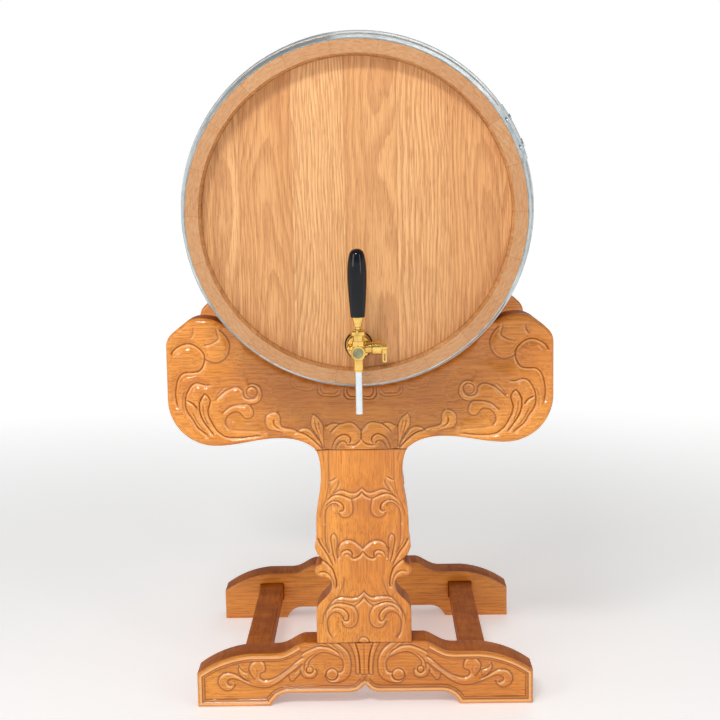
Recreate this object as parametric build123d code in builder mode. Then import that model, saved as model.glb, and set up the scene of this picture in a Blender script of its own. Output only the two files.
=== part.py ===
"""Oak liquor cask with a brass lever tap, lying in the saddles of a two-frame wooden stand.

The cask axis runs along Y and its tap end faces -Y.  Z is up and the floor is Z = 0.
The origin is on the floor, under the middle of the whole dispenser.  Millimetres and degrees.
"""

import os
from math import cos, degrees, floor, radians, sin, sqrt, tan

from build123d import *

os.makedirs("parts", exist_ok=True)

# ---------------------------------------------------------------- driving dimensions

# cask
cask_length = 760.0
head_radius = 229.0             # inside of the staves where the head sits
stave_end_thickness = 21.0      # from there to the outside of the staves at either end
bilge_radius = 288.0            # outside of the staves at mid length
stave_count = 22
stave_thickness = 26.0          # at the bilge
stave_edge = 0.8                # chamfer along the outer edges of a stave
chime_width = 19.3              # flat end face of the staves
head_recess = 30.0              # from the stave ends to the outer face of the head
head_thickness = 18.0
head_board_width = 75.0
head_joint_offset = -15.5       # one joint of the head boards, from the centre line
head_board_gap = 0.15
croze_depth = 6.0               # groove that holds the edge of the head
croze_width = 8.0
croze_clearance = 0.2

# hoops, given by the distance from the stave ends and the width of the band
hoop_bands = {"head_hoop": (4.0, 40.0), "quarter_hoop": (80.0, 32.0), "bilge_hoop": (250.0, 35.0)}
hoop_thickness = 1.5
hoop_seat = 0.15                # bands are straight, the staves under them slightly curved
hoop_lap = 90.0                 # length of the riveted overlap
hoop_lap_angle = 64.0           # middle of the overlap, from the top of the cask
rivet_radius = 2.4
rivet_clearance = 0.05
rivet_head_radius = 4.4
rivet_head_height = 2.0
rivet_spacing = 44.0

# bung
bung_radius = 23.0              # where it leaves the stave
bung_taper = 0.06               # loss of radius per length
bung_proud = 5.0
bung_inside = 3.0
bung_clearance = 0.08
bung_edge = 1.5

# stand
frame_setback = 125.0           # from the stave ends to the outer face of a frame
board_thickness = 60.0
board_edge = 2.5
saddle_clearance = 0.3
foot_half_width = 272.0
foot_height = 105.5             # raised middle of the foot
foot_shoulder_height = 87.5     # step below the raised middle
foot_end_height = 55.0
foot_plateau = 98.0             # half width of the raised middle
foot_shoulder = 145.0           # half width where the step ends
foot_crown = 185.0              # half width where the end slope begins
foot_end_fullness = 0.72        # height of the end slope's middle, as a share of its fall
pad_inner = 153.0               # half distance between the floor pads
arch_half_width = 122.0
arch_height = 21.0
arch_cusp_height = 34.0
arch_cusp_half_width = 26.0
pedestal_height = 317.0
pedestal_top_half = 72.5
pedestal_neck_half = 65.0
pedestal_neck_drop = 40.0       # narrowest part of the neck, below the yoke
pedestal_belly_half = 74.0
pedestal_leaf_half = 77.0
pedestal_leaf_low_half = 73.0
pedestal_notch_half = 63.5
pedestal_waist_half = 50.5
pedestal_curl_half = 67.5
pedestal_base_half = 76.5
pedestal_levels = {             # heights above the foot of the turns in a pedestal's side
    "flare": 51.0,
    "waist": 97.0,
    "curl_low": 109.0,
    "curl": 119.5,
    "curl_high": 130.0,
    "notch": 136.0,
    "leaf_low": 147.0,
    "leaf": 157.0,
    "belly_low": 178.0,
    "belly": 196.0,
}
yoke_web = 103.5                # wood under the cask at the outer face
yoke_half_width = 304.0
yoke_lobe_radius = 75.0
yoke_lobe_base = 8.0            # lowest point of a lobe above the yoke's underside
yoke_arch_height = 19.0         # highest point of the underside
yoke_arch_reach = 56.0          # from the pedestal to that point
yoke_tip_height = 212.0         # top of a lobe above the underside
yoke_tip_inset = 54.0           # top of a lobe, in from the yoke's end
yoke_side_drop = 46.0           # top of the straight side of a lobe, below the tip
yoke_corner_reach = 34.0        # rounded corner of a lobe, out from the tip
yoke_corner_drop = 16.0         # and below it
yoke_saddle_half = 197.0        # half width of the part of the saddle that carries the cask
tenon_width = 90.0
tenon_thickness = 24.0
tenon_length = 40.0
tenon_clearance = 0.2
rail_width = 42.0
rail_height = 30.0
rail_top = 68.0
rail_centre = 181.0
rail_housing = 35.0             # how far a rail end runs into a board
rail_clearance = 0.5
rail_edge = 1.5
upper_rail_width = 60.0
upper_rail_height = 44.0
upper_rail_centre = 215.0       # above the top of the foot

# tap, measured forward from the outer face of the head
tap_rim_distance = 34.0         # tap axis above the lowest point of the head
tap_length = 100.0
shank_radius = 11.0
shank_bore = 5.0
shank_front = 20.0
shank_inside = 25.0             # beyond the inner face of the head
thread_clearance = 0.05
gasket_radius = 21.0
gasket_thickness = 2.0
flange_radius = 19.0
flange_thickness = 4.0
flange_hub_radius = 15.0
flange_hub = 2.0
lock_nut_radius = 20.0
lock_nut_thickness = 10.0
coupling_radius = 18.0
coupling_start = 9.0
coupling_end = 26.0
coupling_notches = 6
coupling_notch_width = 5.0
coupling_notch_depth = 2.0
collar_radius = 13.0
collar_length = 4.0
barrel_radius = 10.0
barrel_bore = 6.5
barrel_ring_radius = 10.6
barrel_ring_length = 9.0
valve_seat_start = 54.0
valve_seat_length = 4.0
valve_seat_radius = 4.4
plug_radius = 7.4
plug_length = 8.0
plug_slot_width = 1.8
plug_slot_depth = 2.0
plug_proud = 1.0
tap_edge = 0.6

# lever, heights above the tap axis
lever_distance = 85.0           # lever axis in front of the head
ball_height = 24.0
ball_radius = 5.8
ball_clearance = 0.1
ball_seat_drop = 4.0            # ring that carries the ball, below its centre
ball_seat_slope = 1.5
throat_radius = 4.5             # opening of that ring
throat_foot_radius = 7.2        # the opening widens downwards to here
throat_foot_height = 5.0
lever_range = 15.0
lever_pin_radius = 1.8
lever_pin_tip = -1.5
lever_stem_radius = 3.2
neck_radius = 7.25
neck_height = 27.0
shoulder_radius = 8.8
shoulder_height = 16.5
bonnet_radius = 10.6
bonnet_base = 24.5
bonnet_top = 33.0
bonnet_lip = 0.8
bonnet_shoulder = 1.2
bonnet_slope = 3.4              # height of the sloped band under the top
bonnet_roof = 1.0               # from the neck to the inner cone
ferrule_base = 36.5
ferrule_base_radius = 5.6
ferrule_top_radius = 8.2
ferrule_band = 2.5
ferrule_band_step = 0.3
grip_base = 50.5
grip_top = 148.5
grip_base_radius = 10.2
grip_radius = 13.6              # at the widest place
grip_widest = 46.0              # height of that place above the base of the grip
grip_tip_radius = 10.8
grip_dome = 8.0                 # height of the rounded end
stem_in_grip = 20.0

# plunger
guide_half_length = 6.0
guide_clearance = 0.08
plunger_slot_half = 4.0
plunger_slot_clearance = 0.2
plunger_rod_radius = 2.5
seal_radius = 5.8
seal_thickness = 3.8
seal_keeper_radius = 3.6
seal_keeper_length = 2.0

# spout
spout_distance = 66.0
spout_bore = 4.3
spout_boss_radius = 7.6
spout_boss_depth = 14.0
nozzle_radius = 6.9
nozzle_bottom = 31.0
nozzle_groove = 0.5             # depth and half height of the groove round the nozzle
nozzle_groove_height = 2.1      # above the nozzle's end
tube_radius = 5.2
tube_bore = 4.2
tube_bottom = 93.0
tube_spigot_radius = 4.9        # reduced end of the tube inside the nozzle
tube_spigot = 14.0

# flow control on the right side
flow_distance = 36.0
flow_boss_radius = 7.0
flow_boss_reach = 12.0
flow_nut_radius = 8.2
flow_nut_reach = 19.6
flow_housing_radius = 10.5
flow_housing_reach = 34.0
flow_pin_radius = 2.8
flow_pin_reach = 42.5
flow_pin_start = 3.0
flow_clearance = 0.06
flow_lever_start = 35.0
flow_lever_width = 6.4
flow_lever_thickness = 3.0
flow_lever_length = 22.0
flow_lever_eye = 4.2
flow_slot_width = 2.4
flow_slot_length = 11.0
stub_radius = 3.6
stub_reach = 17.0

# ---------------------------------------------------------------- places that follow

half_length = cask_length / 2
chime_radius = head_radius + stave_end_thickness    # outside of the staves at either end
tap_reach = tap_length - head_recess
cask_y = tap_reach / 2
cask_front = cask_y - half_length
cask_back = cask_y + half_length
bulge_rise = bilge_radius - chime_radius
bulge_radius = (half_length**2 + bulge_rise**2) / (2 * bulge_rise)
stave_angle = 360 / stave_count
pedestal_base = foot_height
yoke_base = pedestal_base + pedestal_height
front_frame = cask_front + frame_setback
rear_frame = cask_back - frame_setback - board_thickness


def stave_radius(along):
    """Outside radius of the staves at a distance from the middle of the cask."""
    return bilge_radius - bulge_radius + sqrt(bulge_radius**2 - along**2)


cask_z = yoke_base + yoke_web + stave_radius(half_length - frame_setback)
head_face = cask_front + head_recess
tap_z = cask_z - head_radius + tap_rim_distance
cask_axis = Axis((0, cask_y, cask_z), (0, 1, 0))
lever_y = head_face - lever_distance
lever_axis = Axis((0, lever_y, tap_z), (0, 0, 1))
spout_y = head_face - spout_distance
spout_axis = Axis((0, spout_y, tap_z), (0, 0, 1))


def cask_plane(angle):
    """Plane through the cask axis: x runs along the cask, y outward at an angle from the top."""
    turn = radians(angle)
    return Plane(origin=(0, cask_y, cask_z), x_dir=(0, 1, 0), z_dir=(cos(turn), 0, -sin(turn)))


def skin_plane(angle, along, radius, slope):
    """Plane that lies on a band round the cask; the band rises by slope for each length along +Y."""
    turn = radians(angle)
    origin = (radius * sin(turn), cask_y + along, cask_z + radius * cos(turn))
    return Plane(origin=origin, z_dir=(sin(turn), -slope, cos(turn)))


def frame_plane(y):
    """Upright plane across the stand: x is X, y is Z, and a negative extrusion runs to +Y."""
    return Plane(origin=(0, y, 0), x_dir=(1, 0, 0), z_dir=(0, -1, 0))


def tap_plane(distance):
    """Plane across the tap axis; a positive extrusion runs to the front."""
    return Plane(origin=(0, head_face - distance, tap_z), x_dir=(1, 0, 0), z_dir=(0, -1, 0))


def level_plane(y, height):
    """Level plane under or over the tap axis."""
    return Plane(origin=(0, y, tap_z + height))


def flow_plane(x):
    """Plane across the flow control's axis; a positive extrusion runs to +X."""
    return Plane(origin=(x, head_face - flow_distance, tap_z), x_dir=(0, 1, 0), z_dir=(1, 0, 0))


# ---------------------------------------------------------------- staves

croze_out = half_length - head_recess - (head_thickness - croze_width) / 2 + croze_clearance
croze_in = croze_out - croze_width - 2 * croze_clearance
chime_inner = chime_radius - chime_width
bung_top = bilge_radius + bung_proud
bung_bottom = bilge_radius - stave_thickness - bung_inside


def bung_radius_at(height):
    """Radius of the tapered bung at a height above the cask axis."""
    return bung_radius - bung_taper * (bilge_radius - height)


for number in range(stave_count):
    with BuildPart() as stave:
        with BuildSketch(cask_plane((number - 0.5) * stave_angle)):
            with BuildLine():
                ThreePointArc((-half_length, chime_radius), (0, bilge_radius), (half_length, chime_radius))
                Polyline(
                    (half_length, chime_radius), (half_length, chime_inner),
                    (croze_out, head_radius), (croze_out, head_radius + croze_depth),
                    (croze_in, head_radius + croze_depth), (croze_in, head_radius),
                )
                ThreePointArc(
                    (croze_in, head_radius), (0, bilge_radius - stave_thickness), (-croze_in, head_radius)
                )
                Polyline(
                    (-croze_in, head_radius), (-croze_in, head_radius + croze_depth),
                    (-croze_out, head_radius + croze_depth), (-croze_out, head_radius),
                    (-half_length, chime_inner), (-half_length, chime_radius),
                )
            make_face()
        revolve(axis=cask_axis, revolution_arc=stave_angle)
        outer_edges = []
        for edge in stave.edges().sort_by(SortBy.LENGTH)[-4:]:
            middle = edge @ 0.5
            if sqrt(middle.X**2 + (middle.Z - cask_z) ** 2) > bilge_radius - stave_thickness / 2:
                outer_edges.append(edge)
        chamfer(outer_edges, stave_edge)
        if number == 0:
            with BuildSketch(Plane((0, cask_y, cask_z + bung_bottom - bung_inside))):
                Circle(bung_radius_at(bung_bottom - bung_inside) + bung_clearance)
            with BuildSketch(Plane((0, cask_y, cask_z + bung_top))):
                Circle(bung_radius_at(bung_top) + bung_clearance)
            loft(mode=Mode.SUBTRACT)
    stave_name = f"stave_{number + 1:02d}"
    stave.part.label = stave_name
    export_step(stave.part, f"parts/{stave_name}.step")

# ---------------------------------------------------------------- heads

tongue_radius = head_radius + croze_depth - croze_clearance
disc_radius = head_radius - croze_clearance
joint_count = floor(disc_radius / head_board_width) + 1
head_joints = []
for step in range(-joint_count, joint_count + 1):
    joint = head_joint_offset + step * head_board_width
    if abs(joint) < disc_radius - head_board_width / 10:
        head_joints.append(joint)

for head_name, head_side in (("front_head", -1), ("rear_head", 1)):
    head_outer = half_length - head_recess
    head_inner = head_outer - head_thickness
    tongue_out = croze_out - croze_clearance
    tongue_in = croze_in + croze_clearance
    with BuildPart() as head:
        with BuildSketch(cask_plane(0)):
            with BuildLine():
                Polyline(
                    (head_side * head_inner, 0), (head_side * head_inner, disc_radius),
                    (head_side * tongue_in, disc_radius), (head_side * tongue_in, tongue_radius),
                    (head_side * tongue_out, tongue_radius), (head_side * tongue_out, disc_radius),
                    (head_side * head_outer, disc_radius), (head_side * head_outer, 0),
                    close=True,
                )
            make_face()
        revolve(axis=cask_axis)
        head_middle = cask_y + head_side * (head_outer + head_inner) / 2
        with Locations([(joint, head_middle, cask_z) for joint in head_joints]):
            Box(head_board_gap, 2 * head_thickness, 2 * tongue_radius + head_thickness, mode=Mode.SUBTRACT)
        if head_side < 0:
            with BuildSketch(tap_plane(-2 * head_thickness)):
                Circle(shank_radius + thread_clearance)
            extrude(amount=3 * head_thickness, mode=Mode.SUBTRACT)
    head.part.label = head_name
    export_step(head.part, f"parts/{head_name}.step")

# ---------------------------------------------------------------- hoops and rivets

rivet_places = []
for band_name, (band_edge, band_width) in hoop_bands.items():
    for side_name, side in (("front", -1), ("rear", 1)):
        near = half_length - band_edge
        far = near - band_width
        near_radius = stave_radius(near) + hoop_seat
        far_radius = stave_radius(far) + hoop_seat
        middle_radius = (near_radius + far_radius) / 2
        lap_angle = degrees(hoop_lap / middle_radius)
        rivet_angle = degrees(rivet_spacing / middle_radius)
        rivet_along = side * (near + far) / 2
        band_slope = side * (near_radius - far_radius) / band_width
        rivet_planes = []
        for share in (-0.5, 0.5):
            place = hoop_lap_angle + share * rivet_angle
            rivet_planes.append(skin_plane(place, rivet_along, middle_radius, band_slope))
        rivet_places.extend(rivet_planes)
        with BuildPart() as hoop:
            for layer, start, arc in ((0, 0, 360), (1, hoop_lap_angle - lap_angle / 2, lap_angle)):
                lift = layer * hoop_thickness
                with BuildSketch(cask_plane(start)):
                    with BuildLine():
                        Polyline(
                            (side * near, near_radius + lift),
                            (side * far, far_radius + lift),
                            (side * far, far_radius + lift + hoop_thickness),
                            (side * near, near_radius + lift + hoop_thickness),
                            close=True,
                        )
                    make_face()
                revolve(axis=cask_axis, revolution_arc=arc)
            for plane in rivet_planes:
                with BuildSketch(plane.offset(-hoop_thickness)):
                    Circle(rivet_radius + rivet_clearance)
                extrude(amount=5 * hoop_thickness, mode=Mode.SUBTRACT)
        hoop_name = f"{side_name}_{band_name}"
        hoop.part.label = hoop_name
        export_step(hoop.part, f"parts/{hoop_name}.step")

with BuildPart() as hoop_rivets:
    for plane in rivet_places:
        with BuildSketch(plane):
            Circle(rivet_radius)
        extrude(amount=2 * hoop_thickness + rivet_head_height / 2)
        with BuildSketch(plane.offset(2 * hoop_thickness + hoop_seat)):
            Circle(rivet_head_radius)
        extrude(amount=rivet_head_height, taper=30)
hoop_rivets.part.label = "hoop_rivets"
export_step(hoop_rivets.part, "parts/hoop_rivets.step")

# ---------------------------------------------------------------- bung

with BuildPart() as bung:
    with BuildSketch(Plane((0, cask_y, cask_z + bung_bottom))):
        Circle(bung_radius_at(bung_bottom))
    with BuildSketch(Plane((0, cask_y, cask_z + bung_top))):
        Circle(bung_radius_at(bung_top))
    loft()
    chamfer(bung.edges().filter_by(GeomType.CIRCLE), bung_edge)
bung.part.label = "bung"
export_step(bung.part, "parts/bung.step")

# ---------------------------------------------------------------- feet

foot_end_half = (foot_half_width + foot_crown) / 2
foot_end_middle = foot_end_height + foot_end_fullness * (foot_shoulder_height - foot_end_height)
rail_bottom = rail_top - rail_height

for foot_name, foot_y in (("front_foot", front_frame), ("rear_foot", rear_frame)):
    with BuildPart() as foot:
        with BuildSketch(frame_plane(foot_y)):
            with BuildLine():
                Line((0, foot_height), (foot_plateau, foot_height))
                Spline(
                    (foot_plateau, foot_height), (foot_shoulder, foot_shoulder_height),
                    tangents=[(1, -0.25), (1, 0)],
                )
                Line((foot_shoulder, foot_shoulder_height), (foot_crown, foot_shoulder_height))
                ThreePointArc(
                    (foot_crown, foot_shoulder_height), (foot_end_half, foot_end_middle),
                    (foot_half_width, foot_end_height),
                )
                Polyline(
                    (foot_half_width, foot_end_height), (foot_half_width, 0), (pad_inner, 0)
                )
                Spline(
                    (pad_inner, 0), (arch_half_width, arch_height),
                    tangents=[(-0.5, 1), (-1, 0)],
                )
                Line((arch_half_width, arch_height), (arch_cusp_half_width, arch_height))
                Spline(
                    (arch_cusp_half_width, arch_height), (0, arch_cusp_height),
                    tangents=[(-1, 0), (-0.8, 1)],
                )
                mirror(about=Plane.YZ)
            make_face()
        extrude(amount=-board_thickness)
        chamfer(foot.edges().filter_by(Axis.Y, reverse=True).group_by(Axis.Y)[0], board_edge)
        chamfer(foot.edges().filter_by(Axis.Y, reverse=True).group_by(Axis.Y)[-1], board_edge)
        foot_middle = foot_y + board_thickness / 2
        with BuildSketch(Plane((0, foot_middle, foot_height - tenon_length - tenon_clearance))):
            Rectangle(tenon_width + 2 * tenon_clearance, tenon_thickness + 2 * tenon_clearance)
        extrude(amount=2 * tenon_length, mode=Mode.SUBTRACT)
        inner_face = foot_y + board_thickness if foot_name == "front_foot" else foot_y
        with Locations(
            (-rail_centre, inner_face, (rail_top + rail_bottom) / 2),
            (rail_centre, inner_face, (rail_top + rail_bottom) / 2),
        ):
            Box(
                rail_width + 2 * rail_clearance, 2 * (rail_housing + rail_clearance),
                rail_height + 2 * rail_clearance, mode=Mode.SUBTRACT,
            )
    foot.part.label = foot_name
    export_step(foot.part, f"parts/{foot_name}.step")

# ---------------------------------------------------------------- pedestals

level = {name: pedestal_base + height for name, height in pedestal_levels.items()}
neck_level = yoke_base - pedestal_neck_drop
upper_rail_z = pedestal_base + upper_rail_centre

for pedestal_name, pedestal_y in (("front_pedestal", front_frame), ("rear_pedestal", rear_frame)):
    with BuildPart() as pedestal:
        with BuildSketch(frame_plane(pedestal_y)):
            with BuildLine():
                Polyline(
                    (0, pedestal_base), (pedestal_base_half, pedestal_base),
                    (pedestal_base_half, level["flare"]),
                )
                Spline(
                    (pedestal_base_half, level["flare"]), (pedestal_waist_half, level["waist"]),
                    tangents=[(-0.1, 1), (0.0, 1)],
                )
                Spline(
                    (pedestal_waist_half, level["waist"]), (pedestal_curl_half, level["curl_low"]),
                    tangents=[(0.0, 1), (1, 0.1)],
                )
                ThreePointArc(
                    (pedestal_curl_half, level["curl_low"]),
                    (pedestal_leaf_half, level["curl"]),
                    (pedestal_curl_half, level["curl_high"]),
                )
                Polyline(
                    (pedestal_curl_half, level["curl_high"]),
                    (pedestal_notch_half, level["notch"]),
                    (pedestal_leaf_low_half, level["leaf_low"]),
                    (pedestal_leaf_half, level["leaf"]),
                    (pedestal_belly_half, level["belly_low"]),
                )
                Line((pedestal_belly_half, level["belly_low"]), (pedestal_belly_half, level["belly"]))
                Spline(
                    (pedestal_belly_half, level["belly"]), (pedestal_neck_half, neck_level),
                    tangents=[(0, 1), (0, 1)],
                )
                Spline(
                    (pedestal_neck_half, neck_level), (pedestal_top_half, yoke_base),
                    tangents=[(0, 1), (0.55, 1)],
                )
                Line((pedestal_top_half, yoke_base), (0, yoke_base))
                mirror(about=Plane.YZ)
            make_face()
        extrude(amount=-board_thickness)
        pedestal_middle = pedestal_y + board_thickness / 2
        for tenon_z in (pedestal_base - tenon_length, yoke_base):
            with BuildSketch(Plane((0, pedestal_middle, tenon_z))):
                Rectangle(tenon_width, tenon_thickness)
            extrude(amount=tenon_length)
        inner_face = pedestal_y + board_thickness if pedestal_name == "front_pedestal" else pedestal_y
        with Locations((0, inner_face, upper_rail_z)):
            Box(
                upper_rail_width + 2 * rail_clearance, 2 * (rail_housing + rail_clearance),
                upper_rail_height + 2 * rail_clearance, mode=Mode.SUBTRACT,
            )
    pedestal.part.label = pedestal_name
    export_step(pedestal.part, f"parts/{pedestal_name}.step")

# ---------------------------------------------------------------- yokes

lobe_x = yoke_half_width - yoke_lobe_radius
lobe_z = yoke_base + yoke_lobe_base + yoke_lobe_radius
tip_x = yoke_half_width - yoke_tip_inset
tip_z = yoke_base + yoke_tip_height
tip_side = tip_z - yoke_side_drop
arch_x = pedestal_top_half + yoke_arch_reach
arch_z = yoke_base + yoke_arch_height
saddle_start = cask_z - sqrt(stave_radius(half_length - frame_setback) ** 2 - yoke_saddle_half**2)
turn_45 = radians(45)

for yoke_name, yoke_y in (("front_yoke", front_frame), ("rear_yoke", rear_frame)):
    with BuildPart() as yoke:
        with BuildSketch(frame_plane(yoke_y)):
            with BuildLine():
                Line((0, yoke_base), (pedestal_top_half, yoke_base))
                Spline(
                    (pedestal_top_half, yoke_base), (arch_x, arch_z),
                    tangents=[(1, 0.9), (1, 0)],
                )
                Spline(
                    (arch_x, arch_z), (lobe_x, yoke_base + yoke_lobe_base),
                    tangents=[(1, 0), (1, 0)],
                )
                ThreePointArc(
                    (lobe_x, yoke_base + yoke_lobe_base),
                    (lobe_x + yoke_lobe_radius * sin(turn_45), lobe_z - yoke_lobe_radius * cos(turn_45)),
                    (yoke_half_width, lobe_z),
                )
                Line((yoke_half_width, lobe_z), (yoke_half_width, tip_side))
                Spline(
                    (yoke_half_width, tip_side),
                    (tip_x + yoke_corner_reach, tip_z - yoke_corner_drop),
                    (tip_x, tip_z),
                    tangents=[(0, 1), (-1, 0)],
                )
                Spline(
                    (tip_x, tip_z), (yoke_saddle_half, saddle_start),
                    tangents=[(-1, 0), (-1, -0.9)],
                )
                Line((yoke_saddle_half, saddle_start), (yoke_saddle_half, cask_z))
                Line((yoke_saddle_half, cask_z), (0, cask_z))
                mirror(about=Plane.YZ)
            make_face()
        extrude(amount=-board_thickness)
        with BuildSketch(cask_plane(0)):
            with BuildLine():
                ThreePointArc(
                    (-half_length, chime_radius + saddle_clearance),
                    (0, bilge_radius + saddle_clearance),
                    (half_length, chime_radius + saddle_clearance),
                )
                Polyline(
                    (half_length, chime_radius + saddle_clearance), (half_length, 0),
                    (-half_length, 0), (-half_length, chime_radius + saddle_clearance),
                )
            make_face()
        revolve(axis=cask_axis, mode=Mode.SUBTRACT)
        yoke_middle = yoke_y + board_thickness / 2
        with BuildSketch(Plane((0, yoke_middle, yoke_base - tenon_length))):
            Rectangle(tenon_width + 2 * tenon_clearance, tenon_thickness + 2 * tenon_clearance)
        extrude(amount=2 * tenon_length + tenon_clearance, mode=Mode.SUBTRACT)
    yoke.part.label = yoke_name
    export_step(yoke.part, f"parts/{yoke_name}.step")

# ---------------------------------------------------------------- rails

rail_start = front_frame + board_thickness - rail_housing
rail_end = rear_frame + rail_housing
rails = (
    ("left_rail", -rail_centre, (rail_top + rail_bottom) / 2, rail_width, rail_height),
    ("right_rail", rail_centre, (rail_top + rail_bottom) / 2, rail_width, rail_height),
    ("upper_rail", 0, upper_rail_z, upper_rail_width, upper_rail_height),
)
for rail_name, rail_x, rail_z, width, height in rails:
    with BuildPart() as rail:
        with Locations((rail_x, (rail_start + rail_end) / 2, rail_z)):
            Box(width, rail_end - rail_start, height)
        chamfer(rail.edges().filter_by(Axis.Y), rail_edge)
    rail.part.label = rail_name
    export_step(rail.part, f"parts/{rail_name}.step")

# ---------------------------------------------------------------- tap: what holds it in the head

with BuildPart() as tap_shank:
    with BuildSketch(tap_plane(-head_thickness - shank_inside)):
        Circle(shank_radius)
        Circle(shank_bore, mode=Mode.SUBTRACT)
    extrude(amount=head_thickness + shank_inside + shank_front)
tap_shank.part.label = "tap_shank"
export_step(tap_shank.part, "parts/tap_shank.step")

with BuildPart() as head_gasket:
    with BuildSketch(tap_plane(0)):
        Circle(gasket_radius)
        Circle(shank_radius + thread_clearance, mode=Mode.SUBTRACT)
    extrude(amount=gasket_thickness)
head_gasket.part.label = "head_gasket"
export_step(head_gasket.part, "parts/head_gasket.step")

flange_front = gasket_thickness + flange_thickness
with BuildPart() as head_flange:
    with BuildSketch(tap_plane(gasket_thickness)):
        Circle(flange_radius)
    extrude(amount=flange_thickness)
    chamfer(head_flange.edges().filter_by(GeomType.CIRCLE).sort_by(Axis.Y)[0], tap_edge)
    with BuildSketch(tap_plane(flange_front)):
        Circle(flange_hub_radius)
    extrude(amount=flange_hub)
    with BuildSketch(tap_plane(0)):
        Circle(shank_radius + thread_clearance)
    extrude(amount=flange_front + 2 * flange_hub, mode=Mode.SUBTRACT)
head_flange.part.label = "head_flange"
export_step(head_flange.part, "parts/head_flange.step")

with BuildPart() as lock_nut:
    with BuildSketch(tap_plane(-head_thickness - lock_nut_thickness)):
        RegularPolygon(lock_nut_radius, 6)
        Circle(shank_radius + thread_clearance, mode=Mode.SUBTRACT)
    extrude(amount=lock_nut_thickness)
lock_nut.part.label = "lock_nut"
export_step(lock_nut.part, "parts/lock_nut.step")

with BuildPart() as coupling_nut:
    with BuildSketch(tap_plane(coupling_start)):
        Circle(coupling_radius)
    extrude(amount=coupling_end - coupling_start)
    chamfer(coupling_nut.edges().filter_by(GeomType.CIRCLE), 2 * tap_edge)
    with BuildSketch(tap_plane(coupling_start)):
        with PolarLocations(coupling_radius, coupling_notches):
            Rectangle(2 * coupling_notch_depth, coupling_notch_width)
    extrude(amount=coupling_end - coupling_start, mode=Mode.SUBTRACT)
    with BuildSketch(tap_plane(0)):
        Circle(shank_radius + thread_clearance)
    extrude(amount=shank_front, mode=Mode.SUBTRACT)
    with BuildSketch(tap_plane(shank_front)):
        Circle(collar_radius + thread_clearance)
    extrude(amount=collar_length + thread_clearance, mode=Mode.SUBTRACT)
    with BuildSketch(tap_plane(shank_front)):
        Circle(barrel_radius + thread_clearance)
    extrude(amount=coupling_end, mode=Mode.SUBTRACT)
coupling_nut.part.label = "coupling_nut"
export_step(coupling_nut.part, "parts/coupling_nut.step")

# ---------------------------------------------------------------- tap body

body_end = tap_length - plug_proud
plug_start = body_end - plug_length
seat_end = valve_seat_start + valve_seat_length
ball_seat = ball_height - ball_seat_drop
neck_bore = ball_radius + ball_clearance
neck_profile = (
    (0, neck_height + tap_edge), (neck_bore, neck_height + tap_edge),
    (neck_bore, ball_seat + ball_seat_slope), (throat_radius, ball_seat),
    (throat_radius, ball_seat - ball_seat_slope),
    (throat_foot_radius, throat_foot_height), (0, throat_foot_height),
)

with BuildPart() as tap_body:
    with BuildSketch(tap_plane(shank_front)):
        Circle(barrel_radius)
    extrude(amount=body_end - shank_front)
    with BuildSketch(tap_plane(shank_front)):
        Circle(collar_radius)
    extrude(amount=collar_length)
    with BuildSketch(tap_plane(body_end - barrel_ring_length)):
        Circle(barrel_ring_radius)
    extrude(amount=barrel_ring_length)
    chamfer(tap_body.edges().filter_by(GeomType.CIRCLE).sort_by(Axis.Y)[0], tap_edge)
    with BuildSketch(level_plane(lever_y, 0)):
        Circle(shoulder_radius)
    extrude(amount=shoulder_height)
    chamfer(tap_body.edges().filter_by(GeomType.CIRCLE).sort_by(Axis.Z)[-1], tap_edge)
    with BuildSketch(level_plane(lever_y, 0)):
        Circle(neck_radius)
    extrude(amount=neck_height)
    with BuildSketch(level_plane(spout_y, -spout_boss_depth)):
        Circle(spout_boss_radius)
    extrude(amount=spout_boss_depth)
    with BuildSketch(flow_plane(0)):
        Circle(flow_boss_radius)
    extrude(amount=flow_boss_reach)
    with BuildSketch(flow_plane(-stub_reach)):
        Circle(stub_radius)
    extrude(amount=stub_reach)
    chamfer(tap_body.edges().filter_by(GeomType.CIRCLE).sort_by(Axis.X)[0], tap_edge)
    with BuildSketch(tap_plane(shank_front)):
        Circle(barrel_bore)
    extrude(amount=valve_seat_start - shank_front, mode=Mode.SUBTRACT)
    with BuildSketch(tap_plane(valve_seat_start)):
        Circle(valve_seat_radius)
    extrude(amount=valve_seat_length, mode=Mode.SUBTRACT)
    with BuildSketch(tap_plane(seat_end)):
        Circle(barrel_bore)
    extrude(amount=plug_start - seat_end, mode=Mode.SUBTRACT)
    with BuildSketch(tap_plane(plug_start)):
        Circle(plug_radius + thread_clearance)
    extrude(amount=2 * plug_length, mode=Mode.SUBTRACT)
    with BuildSketch(Plane(origin=(0, lever_y, tap_z), x_dir=(1, 0, 0), z_dir=(0, -1, 0))):
        with BuildLine():
            Polyline(*neck_profile, close=True)
        make_face()
    revolve(axis=lever_axis, mode=Mode.SUBTRACT)
    with BuildSketch(level_plane(spout_y, -2 * spout_boss_depth)):
        Circle(spout_bore)
    extrude(amount=2 * spout_boss_depth, mode=Mode.SUBTRACT)
    with BuildSketch(flow_plane(0)):
        Circle(flow_pin_radius + flow_clearance)
    extrude(amount=2 * flow_boss_reach, mode=Mode.SUBTRACT)
tap_body.part.label = "tap_body"
export_step(tap_body.part, "parts/tap_body.step")

with BuildPart() as front_plug:
    with BuildSketch(tap_plane(plug_start)):
        Circle(plug_radius)
    extrude(amount=plug_length + plug_proud)
    chamfer(front_plug.edges().sort_by(Axis.Y)[0], tap_edge)
    with BuildSketch(tap_plane(tap_length - plug_slot_depth)):
        Rectangle(plug_slot_width, 2.5 * plug_radius)
    extrude(amount=2 * plug_slot_depth, mode=Mode.SUBTRACT)
front_plug.part.label = "front_plug"
export_step(front_plug.part, "parts/front_plug.step")

# ---------------------------------------------------------------- lever

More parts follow.
